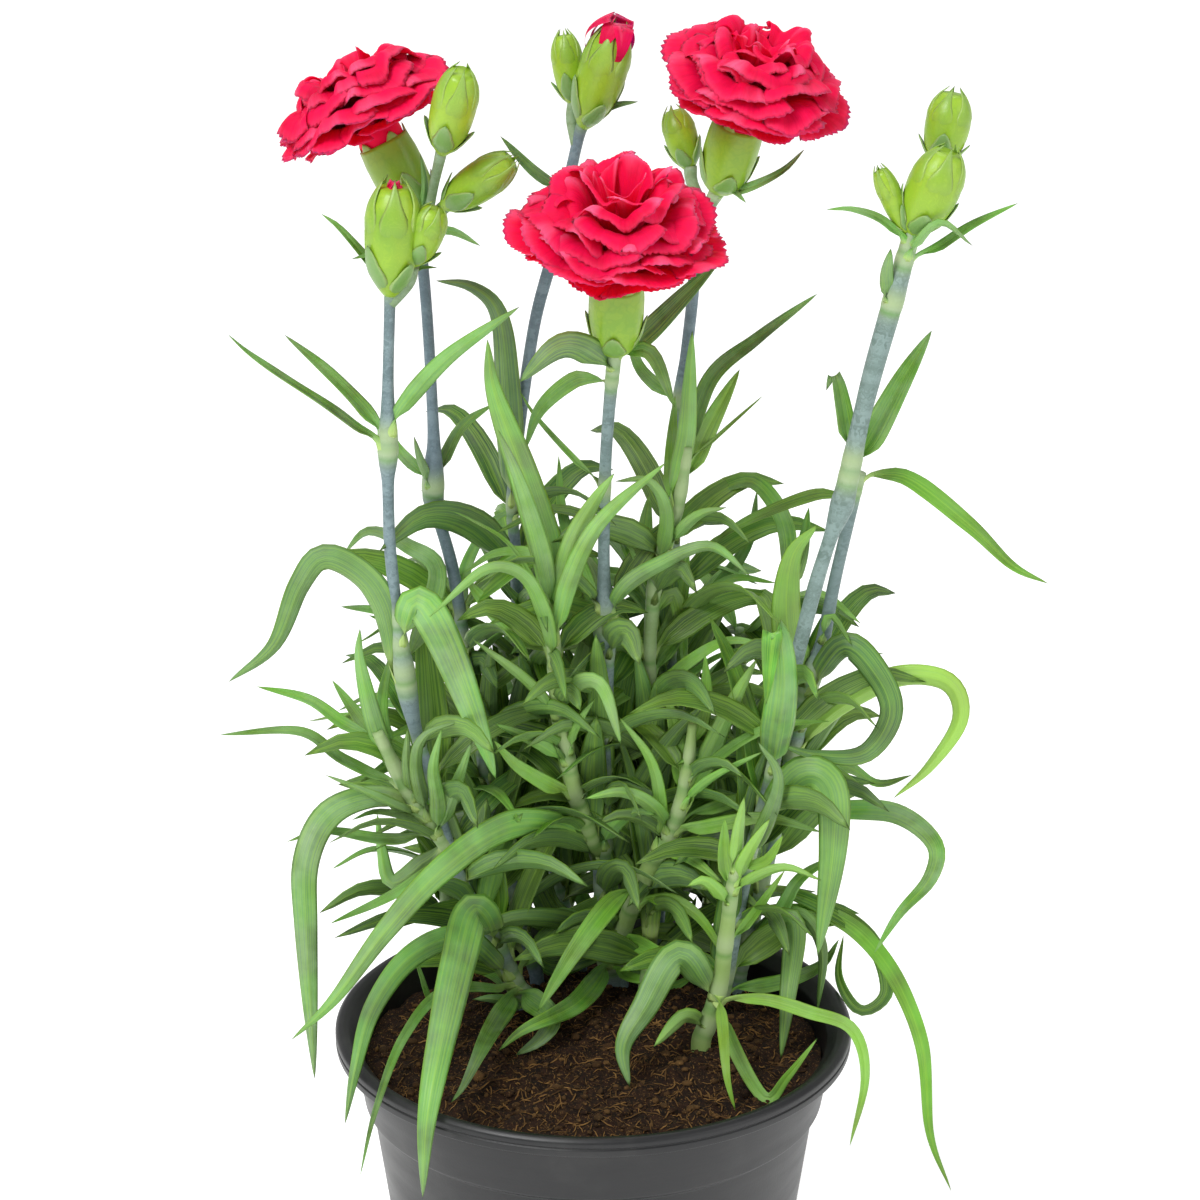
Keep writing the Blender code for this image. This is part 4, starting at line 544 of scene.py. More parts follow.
# Colours as they should look in daylight.
LEAF_GREEN = "5AB22C"
# LEAF_DARK is also painted shade, on the inner leaves.
LEAF_DARK = "0F3A05"
LEAF_YOUNG = "A8D545"
LEAF_WAXY = "A2C398"
LEAF_BASE = "B9CF7E"
STEM_WAXY = "8498A0"
STEM_SLATE = "5F727C"
STEM_GREEN = "93B25C"
SHEATH = "A6BC88"
SEPAL_GREEN = "99BE24"
SEPAL_DEEP = "4F8E26"
SEPAL_GREY = "86A36C"
PETAL_RED = "F6084A"
# PETAL_DEEP is also painted shade, towards the petals' claws deep in the bloom.
PETAL_DEEP = "C40030"
# PETAL_PINK is painted highlight on the crests of the petals' folds, and it also tints their toothed edges.
PETAL_PINK = "FF7AA4"
POT_BLACK = "0F1012"
POT_DUST = "6A6A66"
SOIL_DARK = "140B06"
SOIL_BROWN = "2F1C0F"
FIBRE_GOLD = "A98049"


def unit(vector):
    return vector / max(np.linalg.norm(vector), 1e-9)


def units(vectors):
    return vectors / np.maximum(np.linalg.norm(vectors, axis=-1, keepdims=True), 1e-9)


def ease(x):
    """Smooth step from 0 at 0 to 1 at 1."""
    x = np.clip(x, 0.0, 1.0)
    return x * x * (3 - 2 * x)


def seen(u, v, depth):
    """World points, in mm, that are seen at (u, v) and lie at the given depths."""
    u, v, depth = np.broadcast_arrays(u, v, depth)
    plane = TARGET + (u - PICTURE_CENTRE[0])[..., None] * RIGHT + (v - PICTURE_CENTRE[1])[..., None] * UP
    ray = plane - EYE
    return EYE + ray * ((depth - EYE[1]) / ray[..., 1])[..., None]


def smooth(points, count):
    """Evenly spaced points along a Catmull-Rom curve through the given points."""
    pts = np.array(points, float)
    pts = np.vstack([2 * pts[0] - pts[1], pts, 2 * pts[-1] - pts[-2]])
    p0, p1, p2, p3 = pts[:-3, None], pts[1:-2, None], pts[2:-1, None], pts[3:, None]
    t = np.linspace(0, 1, SPAN_SAMPLES, endpoint=False)[None, :, None]
    spans = 0.5 * (2 * p1 + (p2 - p0) * t + (2 * p0 - 5 * p1 + 4 * p2 - p3) * t * t
                   + (3 * p1 - p0 - 3 * p2 + p3) * t ** 3)
    dense = np.vstack([spans.reshape(-1, pts.shape[1]), pts[-2]])
    run = run_of(dense)
    at = np.linspace(0, run[-1], count)
    return np.column_stack([np.interp(at, run, dense[:, k]) for k in range(dense.shape[1])])


def run_of(points):
    """Distance along a row of points, in mm."""
    steps = np.linalg.norm(np.diff(points[:, :3], axis=0), axis=1)
    return np.concatenate([[0], np.cumsum(steps)])


def soil_height(x, y):
    """Height of the soil surface, in mm, with its heap and its broad unevenness."""
    r = math.hypot(x, y)
    heap = SOIL_HEAP * max(0.0, 1 - (r / HEAP_RADIUS) ** 2)
    crumbs = 0.7 * math.sin(0.31 * x + 1.3) * math.sin(0.27 * y) + 0.4 * math.sin(0.63 * x - 0.5 * y)
    return SOIL_LEVEL + heap + crumbs


def stem_path(key):
    """Dense samples of a stem: x, y, z, radius, u, v."""
    rows = [(*seen(u, v, depth), radius, u, v) for u, v, depth, radius in STEMS[key]]
    dense = smooth(rows, STEM_SAMPLES)
    if key not in FOOTED:
        return dense
    x, y = dense[0, 0], dense[0, 1]
    foot = dense[0].copy()
    foot[2] = soil_height(x, y) - HOLE_DEPTH + 1.0
    above = dense[0].copy()
    above[2] = soil_height(x, y) + 2.0
    keep = dense[dense[:, 2] > above[2] + 3.0]
    return np.vstack([foot, above, keep])


def leaf_line(path, points, added, push, early, count):
    """Spine of a leaf from its stem, with the push in depth that keeps it clear of other blades."""
    near = np.argmin(np.hypot(path[:, 4] - points[0][0], path[:, 5] - points[0][1]))
    root = path[near]
    flat = smooth([(root[4], root[5]), *points[1:]], PICTURE_SAMPLES)
    share = np.linspace(0, 1, len(flat))
    middle, tip = added
    depth = root[1] + middle * 4 * share * (1 - share) + tip * share * (2 * share - 1)
    depth += push * np.minimum(1.0, share / early)
    return smooth(seen(flat[:, 0], flat[:, 1], depth), count)


def leaf_rows(line, width, facing):
    """Centre, direction across, upper direction and half width along a leaf's spine."""
    count = len(line)
    along = np.array([unit(line[min(i + 1, count - 1)] - line[max(i - 1, 0)]) for i in range(count)])
    reach = line[-1] - line[0]
    outward = unit(np.array([reach[0], reach[1], 0.0]))
    across = np.cross(outward, [0, 0, 1.0])
    last_side = across
    rows = []
    for i, t in enumerate(along):
        across = unit(across - t * np.dot(across, t))
        side = unit(np.cross(t, AHEAD))
        if np.dot(side, last_side) < 0:
            side = -side
        last_side = side
        wide = unit((1 - facing) * across + facing * side)
        share = i / (count - 1)
        half = 0.5 * width * (0.55 + 0.45 * min(1.0, share / 0.3)) * (1 - share ** 2.6) ** 0.8
        rows.append((line[i], wide, np.cross(wide, t), half))
    return rows


class Shape:
    """Points in mm, faces and painted values of one piece, gathered before its mesh is made.

    place holds (across, along, upper side, mark). On a stem, across is how near a joint is, and the mark
    is the ring at the joint. On a petal the mark is its fold, whose crests get a painted highlight, and on
    a bud it tells scales from the cup.
    tint holds (chance, waxy, young, dark). On the inner leaves, dark is painted shade. On a petal, young is
    its height in the bloom, which sets how strong its painted highlight is, and on the soil, waxy is how
    far a grain's colour departs from the peat's.
    """

    def __init__(self):
        self.points = []
        self.faces = []
        self.place = []
        self.tint = []
        self.count = 0

    def add(self, points, faces, place, tint):
        points = np.asarray(points, float).reshape(-1, 3)
        self.points.append(points)
        self.faces.extend(tuple(self.count + k for k in face) for face in faces)
        self.place.append(np.broadcast_to(place, (len(points), 4)))
        self.tint.append(np.broadcast_to(tint, (len(points), 4)))
        self.count += len(points)

    def piece(self, name, node, slot, material):
        """Makes the mesh and hands the piece to the frame in place of its node."""
        points = np.vstack(self.points) * MM
        points = np.clip(points, np.array(CAD_BOX[0]), np.array(CAD_BOX[1]))
        mesh = bpy.data.meshes.new(name)
        mesh.from_pydata(points.tolist(), [], self.faces)
        for label, rows in (("place", self.place), ("tint", self.tint)):
            layer = mesh.attributes.new(label, "FLOAT_COLOR", "POINT")
            layer.data.foreach_set("color", np.vstack(rows).astype(np.float32).ravel())
        weld(mesh)
        mesh.materials.append(material)
        hand_over(placed(name, mesh), node)


def placed(name, data):
    """A new object in the scene that holds the data."""
    obj = bpy.data.objects.new(name, data)
    bpy.context.scene.collection.objects.link(obj)
    return obj


def weld(mesh):
    """Joins points that fall together, turns the faces outwards and shades them smooth."""
    work = bmesh.new()
    work.from_mesh(mesh)
    bmesh.ops.remove_doubles(work, verts=work.verts, dist=1e-7)
    bmesh.ops.recalc_face_normals(work, faces=work.faces)
    for face in work.faces:
        face.smooth = True
    work.to_mesh(mesh)
    work.free()


def hand_over(obj, node):
    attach(obj, "root")
    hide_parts(node)


def ring_faces(rows, sides):
    """Faces of a closed tube of rings, with its two ends."""
    faces = []
    for i in range(rows - 1):
        for k in range(sides):
            n = (k + 1) % sides
            a, b = i * sides, (i + 1) * sides
            faces.append((a + k, a + n, b + n, b + k))
    faces.append(tuple(reversed(range(sides))))
    faces.append(tuple((rows - 1) * sides + k for k in range(sides)))
    return faces


def tube(shape, centres, radii, place, tint, sides):
    """A stem or bud: rings about a row of centres, each radius a number or one number for each side."""
    centres = np.asarray(centres, float)
    radii = np.broadcast_to(np.asarray(radii, float).reshape(len(centres), -1), (len(centres), sides))
    along = units(np.gradient(centres, axis=0))
    across = unit(np.cross(along[0], [0.3, 1.0, 0.1]))
    angles = np.linspace(0, 2 * math.pi, sides, endpoint=False)
    rings = []
    for centre, t, radius in zip(centres, along, radii):
        across = unit(across - t * np.dot(across, t))
        other = np.cross(t, across)
        spokes = np.cos(angles)[:, None] * across + np.sin(angles)[:, None] * other
        rings.append(centre + radius[:, None] * spokes)
    if np.ndim(place) > 1:
        place = np.repeat(place, sides, axis=0)
    shape.add(np.array(rings), ring_faces(len(centres), sides), place, tint)


def sheet(shape, upper, lower, place, tint):
    """A thin blade between two grids of points that share their border, painted as its upper side."""
    rows, cols = upper.shape[:2]
    top = np.arange(rows * cols).reshape(rows, cols)
    low = top.copy()
    inside = (rows - 2) * (cols - 2)
    low[1:-1, 1:-1] = rows * cols + np.arange(inside).reshape(rows - 2, cols - 2)
    border = np.ones((rows, cols), bool)
    border[1:-1, 1:-1] = False
    face_up = upper.copy()
    face_up[border] = 0.5 * (upper[border] + lower[border])
    points = np.vstack([face_up.reshape(-1, 3), lower[1:-1, 1:-1].reshape(-1, 3)])
    under = place[1:-1, 1:-1].copy()
    under[..., 2] = 0.0
    paint = np.vstack([place.reshape(-1, 4), under.reshape(-1, 4)])
    faces = []
    for i in range(rows - 1):
        for j in range(cols - 1):
            faces.append((top[i, j], top[i, j + 1], top[i + 1, j + 1], top[i + 1, j]))
            faces.append((low[i, j], low[i + 1, j], low[i + 1, j + 1], low[i, j + 1]))
    shape.add(points, faces, paint, tint)


def grid_place(rows, cols, mark=0.0):
    """Painted places of the upper side of a grid: across, along, upper side and a mark."""
    place = np.zeros((rows, cols, 4))
    place[..., 0] = np.linspace(0, 1, cols)[None, :]
    place[..., 1] = np.linspace(0, 1, rows)[:, None]
    place[..., 2] = 1.0
    place[..., 3] = mark
    return place


def stem_at(path, stem_run, at):
    """Place and radius of a stem at a distance along it."""
    return np.array([np.interp(at, stem_run, path[:, k]) for k in range(4)])


def clasp_frame(path, line):
    """Where a leaf leaves its stem: index on the path, the stem's direction, outwards and beside."""
    near = np.argmin(np.linalg.norm(path[:, :3] - line[0], axis=1))
    grow = unit(path[min(near + 1, len(path) - 1), :3] - path[max(near - 1, 0), :3])
    out = line[min(3, len(line) - 1)] - line[0]
    out = unit(out - grow * np.dot(out, grow))
    return near, grow, out, np.cross(grow, out)


def blade_section(half, share, waves, phase, channel):
    """Lift, groove, thickness and keel across a blade, in mm, at a share of its length."""
    b = LEAF_ACROSS
    swell = np.sin(2 * math.pi * waves * share + phase + 1.2 * np.sign(b))
    wave = 0.10 * half * share * swell * np.abs(b) ** 2
    lift = half * channel * (np.abs(b) ** 1.5) * (1 - 0.5 * share) + wave
    groove = 0.14 * np.exp(-(b / 0.10) ** 2) * min(1.0, half)
    round_off = 0.35 + 0.65 * np.sqrt(np.maximum(0, 1 - b * b))
    thick = BLADE_THICKNESS * round_off * min(1.0, 0.35 + half / 2.5)
    keel = 0.32 * np.exp(-(b / 0.15) ** 2) * min(1.0, half / 2.0)
    return lift, groove, thick, keel


def fine_leaf(shape, path, line, width, facing, tint, draw):
    """A channelled blade with a midrib, a slight wave and twist, whose base clasps its stem."""
    length = run_of(line)[-1]
    rows = leaf_rows(line, width, facing)
    near, grow, out, beside = clasp_frame(path, line)
    stem_run = run_of(path)
    turn = math.radians(draw.uniform(-11, 11))
    phase = draw.uniform(0, 6.28)
    waves = length / draw.uniform(16, 26)
    channel = draw.uniform(0.16, 0.34)
    b = LEAF_ACROSS
    angle = b * CLASP_ANGLE
    around = np.cos(angle)[:, None] * out + np.sin(angle)[:, None] * beside
    upper = np.zeros((len(rows), len(b), 3))
    lower = np.zeros((len(rows), len(b), 3))
    for i, (centre, wide, up, half) in enumerate(rows):
        share = i / (len(rows) - 1)
        swing = turn * math.sin(math.pi * share)
        across = wide * math.cos(swing) + up * math.sin(swing)
        rise = up * math.cos(swing) - wide * math.sin(swing)
        lift, groove, thick, keel = blade_section(half, share, waves, phase, channel)
        clasp = float(ease(1 - share * length / min(CLASP_LENGTH, CLASP_SHARE * length)))
        start = float(ease(share * length / 4.0))
        axis = stem_at(path, stem_run, stem_run[near] + float(np.dot(centre - line[0], grow)))
        lack = max(0.0, axis[3] + 0.40 - float(np.dot(centre - axis[:3], out)))
        centre = centre + out * lack * float(ease(1 - share / 0.6))
        blade = centre + half * b[:, None] * across + lift[:, None] * rise
        sheath = axis[:3] + (axis[3] + CLASP_GAP * start - 0.06) * around
        skin = blade * (1 - clasp) + sheath * clasp
        normal = unit(rise * (1 - clasp) - out * clasp)
        upper[i] = skin - groove[:, None] * (1 - clasp) * normal
        lower[i] = skin - (thick + keel * (1 - clasp))[:, None] * normal * (1 - 0.5 * clasp)
    place = grid_place(len(rows), len(b))
    place[..., 0] = 0.5 + 0.5 * b[None, :]
    sheet(shape, upper, lower, place, tint)


def sections(line):
    """How many cross-sections the solid's blade has for these bends."""
    runs = [unit(b - a) for a, b in zip(line, line[1:])]
    turning = sum(math.acos(min(1.0, float(np.dot(a, b)))) for a, b in zip(runs, runs[1:]))
    return max(4, min(11, 3 + round(turning / TURN_PER_SEGMENT)))


def misfit(tree, line):
    """Mean distance, in mm, from the points of a spine to the solid."""
    return float(np.mean([tree.find_nearest(Vector(p * MM))[3] / MM for p in line[1:]]))


def points_for(line, step):
    """How many points a leaf's spine gets, at one for each step along it."""
    return max(LEAST_POINTS, int(run_of(np.array(line))[-1] / step))


def settle(tree, path, leaf):
    """The push in depth that the solid's own leaf was given."""
    points, added = leaf[:2]
    count = sections(leaf_line(path, points, added, 0, EARLY_SHARES[0], ROUGH_SAMPLES))
    best = None
    for push in PUSHES:
        for early in EARLY_SHARES:
            miss = misfit(tree, leaf_line(path, points, added, push, early, count))
            if best is None or miss < best[0] - 0.02:
                best = (miss, push, early)
    return best[1], best[2]


def crossed_leaves(table, paths, draw):
    """Leaves in pairs that cross from node to node: stem, spine points, width."""
    leaves = []
    for key, first, last, pairs, length in table:
        path = paths[key]
        for pair in range(pairs):
            share = first + (last - first) * pair / max(1, pairs - 1)
            root = path[int(share * (len(path) - 1))]
            turn = math.radians(90 * (pair % 2) + draw.uniform(-25, 25) + 35)
            for side in (0, math.pi):
                angle = turn + side
                reach = length * draw.uniform(0.75, 1.1) * (1 - 0.25 * share)
                lift = draw.uniform(0.35, 0.75) + 0.3 * share
                out = np.array([math.cos(angle), math.sin(angle), 0.0])
                up = np.array([0, 0, 1.0])
                start = root[:3]
                line = [start, start + reach * (0.30 * out + 0.42 * lift * up),
                        start + reach * (0.65 * out + 0.62 * lift * up),
                        start + reach * (0.98 * out + 0.50 * lift * up)]
                leaves.append((key, line, draw.uniform(4.0, 5.6)))
    return leaves


def spun(line, turn):
    """A spine turned about the upright through its root."""
    c, s = math.cos(math.radians(turn)), math.sin(math.radians(turn))
    reach = [p - line[0] for p in line]
    return [line[0] + np.array([c * d[0] - s * d[1], s * d[0] + c * d[1], d[2]]) for d in reach]


def axis_frame(foot, tip):
    axis = unit(tip - foot)
    side = unit(np.cross(axis, [0.1, 1.0, 0.2]))
    return axis, side, np.cross(axis, side)


def scale_leaf(shape, foot, tip, outline, radius, angle, spread, length, start, flare, tint):
    """A pointed scale that lies against a bud or a calyx, with its tip standing a little off."""
    axis, side, front = axis_frame(foot, tip)
    total = np.linalg.norm(tip - foot)
    rows, cols = SCALE_ROWS, SCALE_COLUMNS
    upper = np.zeros((rows, cols, 3))
    lower = np.zeros((rows, cols, 3))
    for i in range(rows):
        s = i / (rows - 1)
        height = start + length * s
        r = radius * np.interp(min(height, 1.0), *outline)
        half = spread * (0.75 + 0.25 * math.sin(math.pi * min(1.0, s * 1.6))) * (1 - s ** 2.2) ** 0.8
        for j in range(cols):
            b = 2 * j / (cols - 1) - 1
            a = angle + b * half
            out = side * math.cos(a) + front * math.sin(a)
            off = -0.20 + 0.38 * float(ease(s / 0.4)) + flare * s ** 2.5 - 0.14 * b * b
            upper[i, j] = foot + axis * (height * total) + out * (r + off)
            lower[i, j] = foot + axis * (height * total) + out * (r + off - 0.28)
    sheet(shape, upper, lower, grid_place(rows, cols, 0.6), tint)


def ribbed_cup(shape, foot, tip, outline, radius, last, rings, ribs, tint):
    """The cup of a bud or a calyx up to a share of its length. ribs holds their depth and their number."""
    depth, number = ribs
    shares = np.linspace(0, last, rings)
    angles = np.linspace(0, 2 * math.pi, BUD_SIDES, endpoint=False)
    ribbed = 1 + depth * np.cos(number * angles)
    radii = np.array([radius * np.interp(s, *outline) * ribbed for s in shares])
    centres = np.array([foot + (tip - foot) * s for s in shares])
    blank = np.zeros_like(shares)
    place = np.column_stack([blank + 0.5, shares, blank, blank])
    tube(shape, centres, radii, place, tint, BUD_SIDES)


def fine_bud(shape, petals, root, tip, width, shows, draw):
    """A bud: a smooth cup, five sepal tips that close over it, and two pairs of scales at its base.

    shows is None for a closed bud. Otherwise it holds how far, in mm, the petals stand out of the tip, and
    how wide they are as a share of the bud.
    """
    foot, end = seen(*root), seen(*tip)
    radius = 0.5 * width
    cup = radius - CUP_INSET
    tint = (draw.random(), 0.1, 1.0, 0.0)
    ribbed_cup(shape, foot, end, BUD_OUTLINE, cup, 0.93, 26, (0.010, 20), tint)
    first = draw.uniform(0, 6.28)
    for k in range(5):
        angle = first + 2 * math.pi * k / 5
        lean = 0.25 + 0.7 * bool(shows) + draw.uniform(-0.15, 0.25)
        tint = (draw.random(), 0.2, 0.9, 0.0)
        scale_leaf(shape, foot, end, BUD_OUTLINE, cup, angle, 0.66, 0.55, 0.47, lean, tint)
    for k in range(4):
        angle = first + 0.5 * math.pi * k
        long, start, flare = (0.44, 0.01 + 0.03, 0.5) if k % 2 else (0.34, 0.01, 1.0)
        tint = (draw.random(), 0.7, 0.2, 0.0)
        scale_leaf(shape, foot, end, BUD_OUTLINE, radius - 0.1, angle, 0.80, long, start, flare, tint)
    if shows:
        peeping_petals(petals, foot, end, radius, *shows, draw)


def peeping_petals(shape, foot, end, radius, out, wide, draw):
    """Rolled petal tips that stand a little out of an opening bud."""
    axis, side, front = axis_frame(foot, end)
    base = foot + (end - foot) * 0.60
    high = 0.40 * np.linalg.norm(end - foot) + out
    for k in range(9):
        angle = 2.4 * k + draw.uniform(-0.3, 0.3)
        outward = side * math.cos(angle) + front * math.sin(angle)
        beside = np.cross(axis, outward)
        layer = wide * radius * (0.45 + 0.06 * k)

        def place_in(grid, outward=outward, beside=beside, layer=layer):
            share = np.clip(grid[..., 2:] / high, 0, 1)
            away = layer * (0.55 + 0.45 * np.sin(math.pi * share) - 0.35 * share ** 4)
            away = away + 0.10 * (grid[..., :1] - 1)
            return base + away * outward + grid[..., 1:2] * beside + grid[..., 2:] * axis

        reach = 0.40 * wide * radius
        tall = high * draw.uniform(0.88, 1.0)
        fine_petal(shape, place_in, reach, tall, 0.0, 0.9, 0.04, 0.0, draw, 0.3)


def bloom_frame(bloom):
    """Foot of the calyx, its axis and two directions across it."""
    foot = seen(*bloom["foot"])
    axis = unit(seen(*bloom["axis"]) - foot)
    side = unit(np.cross(axis, [0, 1.0, 0.2]))
    return foot, axis, side, np.cross(axis, side)


def fine_calyx(shape, bloom, draw):
    """The green cup of an open bloom, with five teeth that stand against the petals."""
    foot, axis = bloom_frame(bloom)[:2]
    tip = foot + axis * CALYX_LENGTH
    tint = (draw.random(), 0.1, 0.8, 0.0)
    ribbed_cup(shape, foot, tip, CALYX_OUTLINE, CALYX_RADIUS, 0.88, 22, (0.012, 25), tint)
    first = draw.uniform(0, 6.28)
    for k in range(5):
        angle = first + 2 * math.pi * k / 5
        tint = (draw.random(), 0.1, 0.8, 0.0)
        scale_leaf(shape, foot, tip, CALYX_OUTLINE, CALYX_RADIUS - 0.3, angle, 0.64, 0.31, 0.66, 0.3, tint)
    for k in range(4):
        angle = first + 0.5 * math.pi * k
        long = 0.50 if k % 2 else 0.36
        tint = (draw.random(), 0.55, 0.35, 0.0)
        scale_leaf(shape, foot, tip, CALYX_OUTLINE, CALYX_RADIUS, angle, 0.74, long, 0.02, 0.8, tint)


def fine_petal(shape, place_in, reach, high, arch, spread, folds, droop, draw, ragged=1.0):
    """A broad ruffled petal with a narrow claw and a finely toothed edge."""
    rows, cols = PETAL_ROWS, PETAL_COLUMNS
    s = np.linspace(0, 1, rows)[:, None] ** 0.85
    b = np.linspace(-1, 1, cols)[None, :]
    phase = draw.uniform(0, 6.28)
    count = draw.uniform(0.8, 1.7)
    teeth = [draw.uniform(0.008, 0.035) * (j % 2) + draw.uniform(0, 0.012) for j in range(cols)]
    lobes = 0.09 * (0.5 + 0.5 * np.sin(4.1 * b + 2 * phase))
    edge = 1 - ragged * (np.array(teeth)[None, :] + lobes) * s ** 6 - 0.08 * b ** 4
    r = 1.0 + reach * s * edge
    angle = b * spread * (0.20 + 0.80 * s ** 0.6)
    fold = np.sin(math.pi * count * b + phase)
    fold = fold + 0.22 * np.sin(2.7 * math.pi * count * b + 1.7 * phase + 2 * s)
    crease = 0.007 * np.sin(17 * b + 3 * phase)
    ruffle = reach * (folds * s ** 1.8 * fold + crease * s)
    rise = high * s ** 0.7 + arch * np.sin(math.pi * s ** 1.3) - droop * s ** 3 - 2.0 * (1 - ease(s / 0.2))
    roll = draw.uniform(-0.10, 0.10) * reach * b * s
    grid = np.stack([r * np.cos(angle), r * np.sin(angle), rise + ruffle + roll], axis=-1)
    normal = units(np.cross(np.gradient(grid, axis=0), np.gradient(grid, axis=1)))
    upper = place_in(grid + 0.5 * PETAL_THICKNESS * normal)
    lower = place_in(grid - 0.5 * PETAL_THICKNESS * normal)
    place = grid_place(rows, cols)
    # The mark follows the folds, where the petal look paints a highlight on the crests; the height makes it
    # stronger.
    place[..., 3] = 0.5 + 0.35 * fold * s
    sheet(shape, upper, lower, place, (draw.random(), draw.random(), min(1.0, high / 20.0), 0.0))


def build_bloom(name, bloom, look, draw):
    """All the petals of one bloom, from the spreading outer ones to the tight heart."""
    foot, axis, side, front = bloom_frame(bloom)
    base = foot + axis * (CALYX_LENGTH * 0.98)
    shape = Shape()
    claws = base + CLAW_HEIGHTS[:, None] * axis
    tube(shape, claws, CLAW_RADII, (0.5, 0.45, 1.0, 0.3), (draw.random(), 0.5, 0.2, 0.0), CLAW_SIDES)
    for count, share, high, arch, half_angle, folds, first in PETAL_LAYERS:
        for k in range(count):
            angle = 2 * math.pi * (k + first) / count + draw.uniform(-0.16, 0.16)
            outward = side * math.cos(angle) + front * math.sin(angle)
            beside = np.cross(axis, outward)

            def place_in(grid, outward=outward, beside=beside):
                return base + grid[..., :1] * outward + grid[..., 1:2] * beside + grid[..., 2:] * axis

            reach = bloom["radius"] * share * draw.uniform(0.86, 1.03) - 1.0
            end = bloom["dome"] * high * draw.uniform(0.82, 1.08)
            half = math.radians(half_angle * draw.uniform(0.9, 1.15))
            fine_petal(shape, place_in, reach, end, arch, half, folds, bloom["droop"] * share ** 3, draw)
    shape.piece(name + "_petals", name, "petals", look)


def colour(code):
    """A daylight colour as linear values for a shader."""
    parts = [int(code[k:k + 2], 16) / 255 for k in (0, 2, 4)]
    return tuple([c / 12.92 if c <= 0.04045 else ((c + 0.055) / 1.055) ** 2.4 for c in parts] + [1.0])


class Look:
    """A material and short calls that add nodes to it."""

    def __init__(self, name, roughness):
        self.material = bpy.data.materials.new(name)
        self.material.use_nodes = True
        self.tree = self.material.node_tree
        self.shader = self.tree.nodes["Principled BSDF"]
        self.shader.inputs["Roughness"].default_value = roughness
        self.position = self.tree.nodes.new("ShaderNodeTexCoord").outputs["Object"]

    def feed(self, socket, value):
        if isinstance(value, bpy.types.NodeSocket):
            self.tree.links.new(value, socket)
        else:
            socket.default_value = value

    def painted(self, name):
        """The four painted values of a piece as sockets."""
        made = self.tree.nodes.new("ShaderNodeAttribute")
        made.attribute_name = name
        parts = self.tree.nodes.new("ShaderNodeSeparateColor")
        self.tree.links.new(made.outputs["Color"], parts.inputs[0])
        return [*parts.outputs, made.outputs["Alpha"]]

    def math(self, operation, a, b=0.0):
        made = self.tree.nodes.new("ShaderNodeMath")
        made.operation = operation
        self.feed(made.inputs[0], a)
        self.feed(made.inputs[1], b)
        return made.outputs[0]

    def times(self, a, b):
        return self.math("MULTIPLY", a, b)

    def rest_of(self, value):
        """What is missing from 1."""
        return self.math("SUBTRACT", 1.0, value)

    def off_middle(self, across):
        """Distance from the middle of a blade, 0.5 at its edges."""
        return self.math("ABSOLUTE", self.math("SUBTRACT", across, 0.5))

    def fade(self, value, low, high):
        """Goes from 0 to 1 smoothly as the value goes from low to high."""
        made = self.tree.nodes.new("ShaderNodeMapRange")
        made.interpolation_type = "SMOOTHSTEP"
        self.feed(made.inputs["Value"], value)
        made.inputs["From Min"].default_value = low
        made.inputs["From Max"].default_value = high
        return made.outputs[0]

    def mix(self, share, a, b):
        made = self.tree.nodes.new("ShaderNodeMix")
        made.data_type = "RGBA"
        self.feed(made.inputs[0], share)
        self.feed(made.inputs[6], a)
        self.feed(made.inputs[7], b)
        return made.outputs[2]

    def lay(self, base, code, share, strength):
        """Lays a colour over the base where the share is high, as strongly as given."""
        return self.mix(self.times(share, strength), base, colour(code))

    def noise(self, scale, detail, roughness=0.55, vector=None):
        made = self.tree.nodes.new("ShaderNodeTexNoise")
        self.feed(made.inputs["Scale"], scale)
        self.feed(made.inputs["Detail"], detail)
        self.feed(made.inputs["Roughness"], roughness)
        self.feed(made.inputs["Vector"], vector or self.position)
        return made.outputs["Fac"]

    def streaks(self, x, y, z, detail):
        """Noise that is drawn out by the factors that its three values were given."""
        made = self.tree.nodes.new("ShaderNodeCombineXYZ")
        for socket, value in zip(made.inputs, (x, y, z)):
            self.feed(socket, value)
        return self.noise(1.0, detail, 0.6, made.outputs[0])

    def bump(self, height, distance, strength):
        made = self.tree.nodes.new("ShaderNodeBump")
        made.inputs["Strength"].default_value = strength
        made.inputs["Distance"].default_value = distance
        self.feed(made.inputs["Height"], height)
        self.feed(self.shader.inputs["Normal"], made.outputs[0])

    def set(self, **values):
        for name, value in values.items():
            self.feed(self.shader.inputs[name.replace("_", " ")], value)
        return self.material


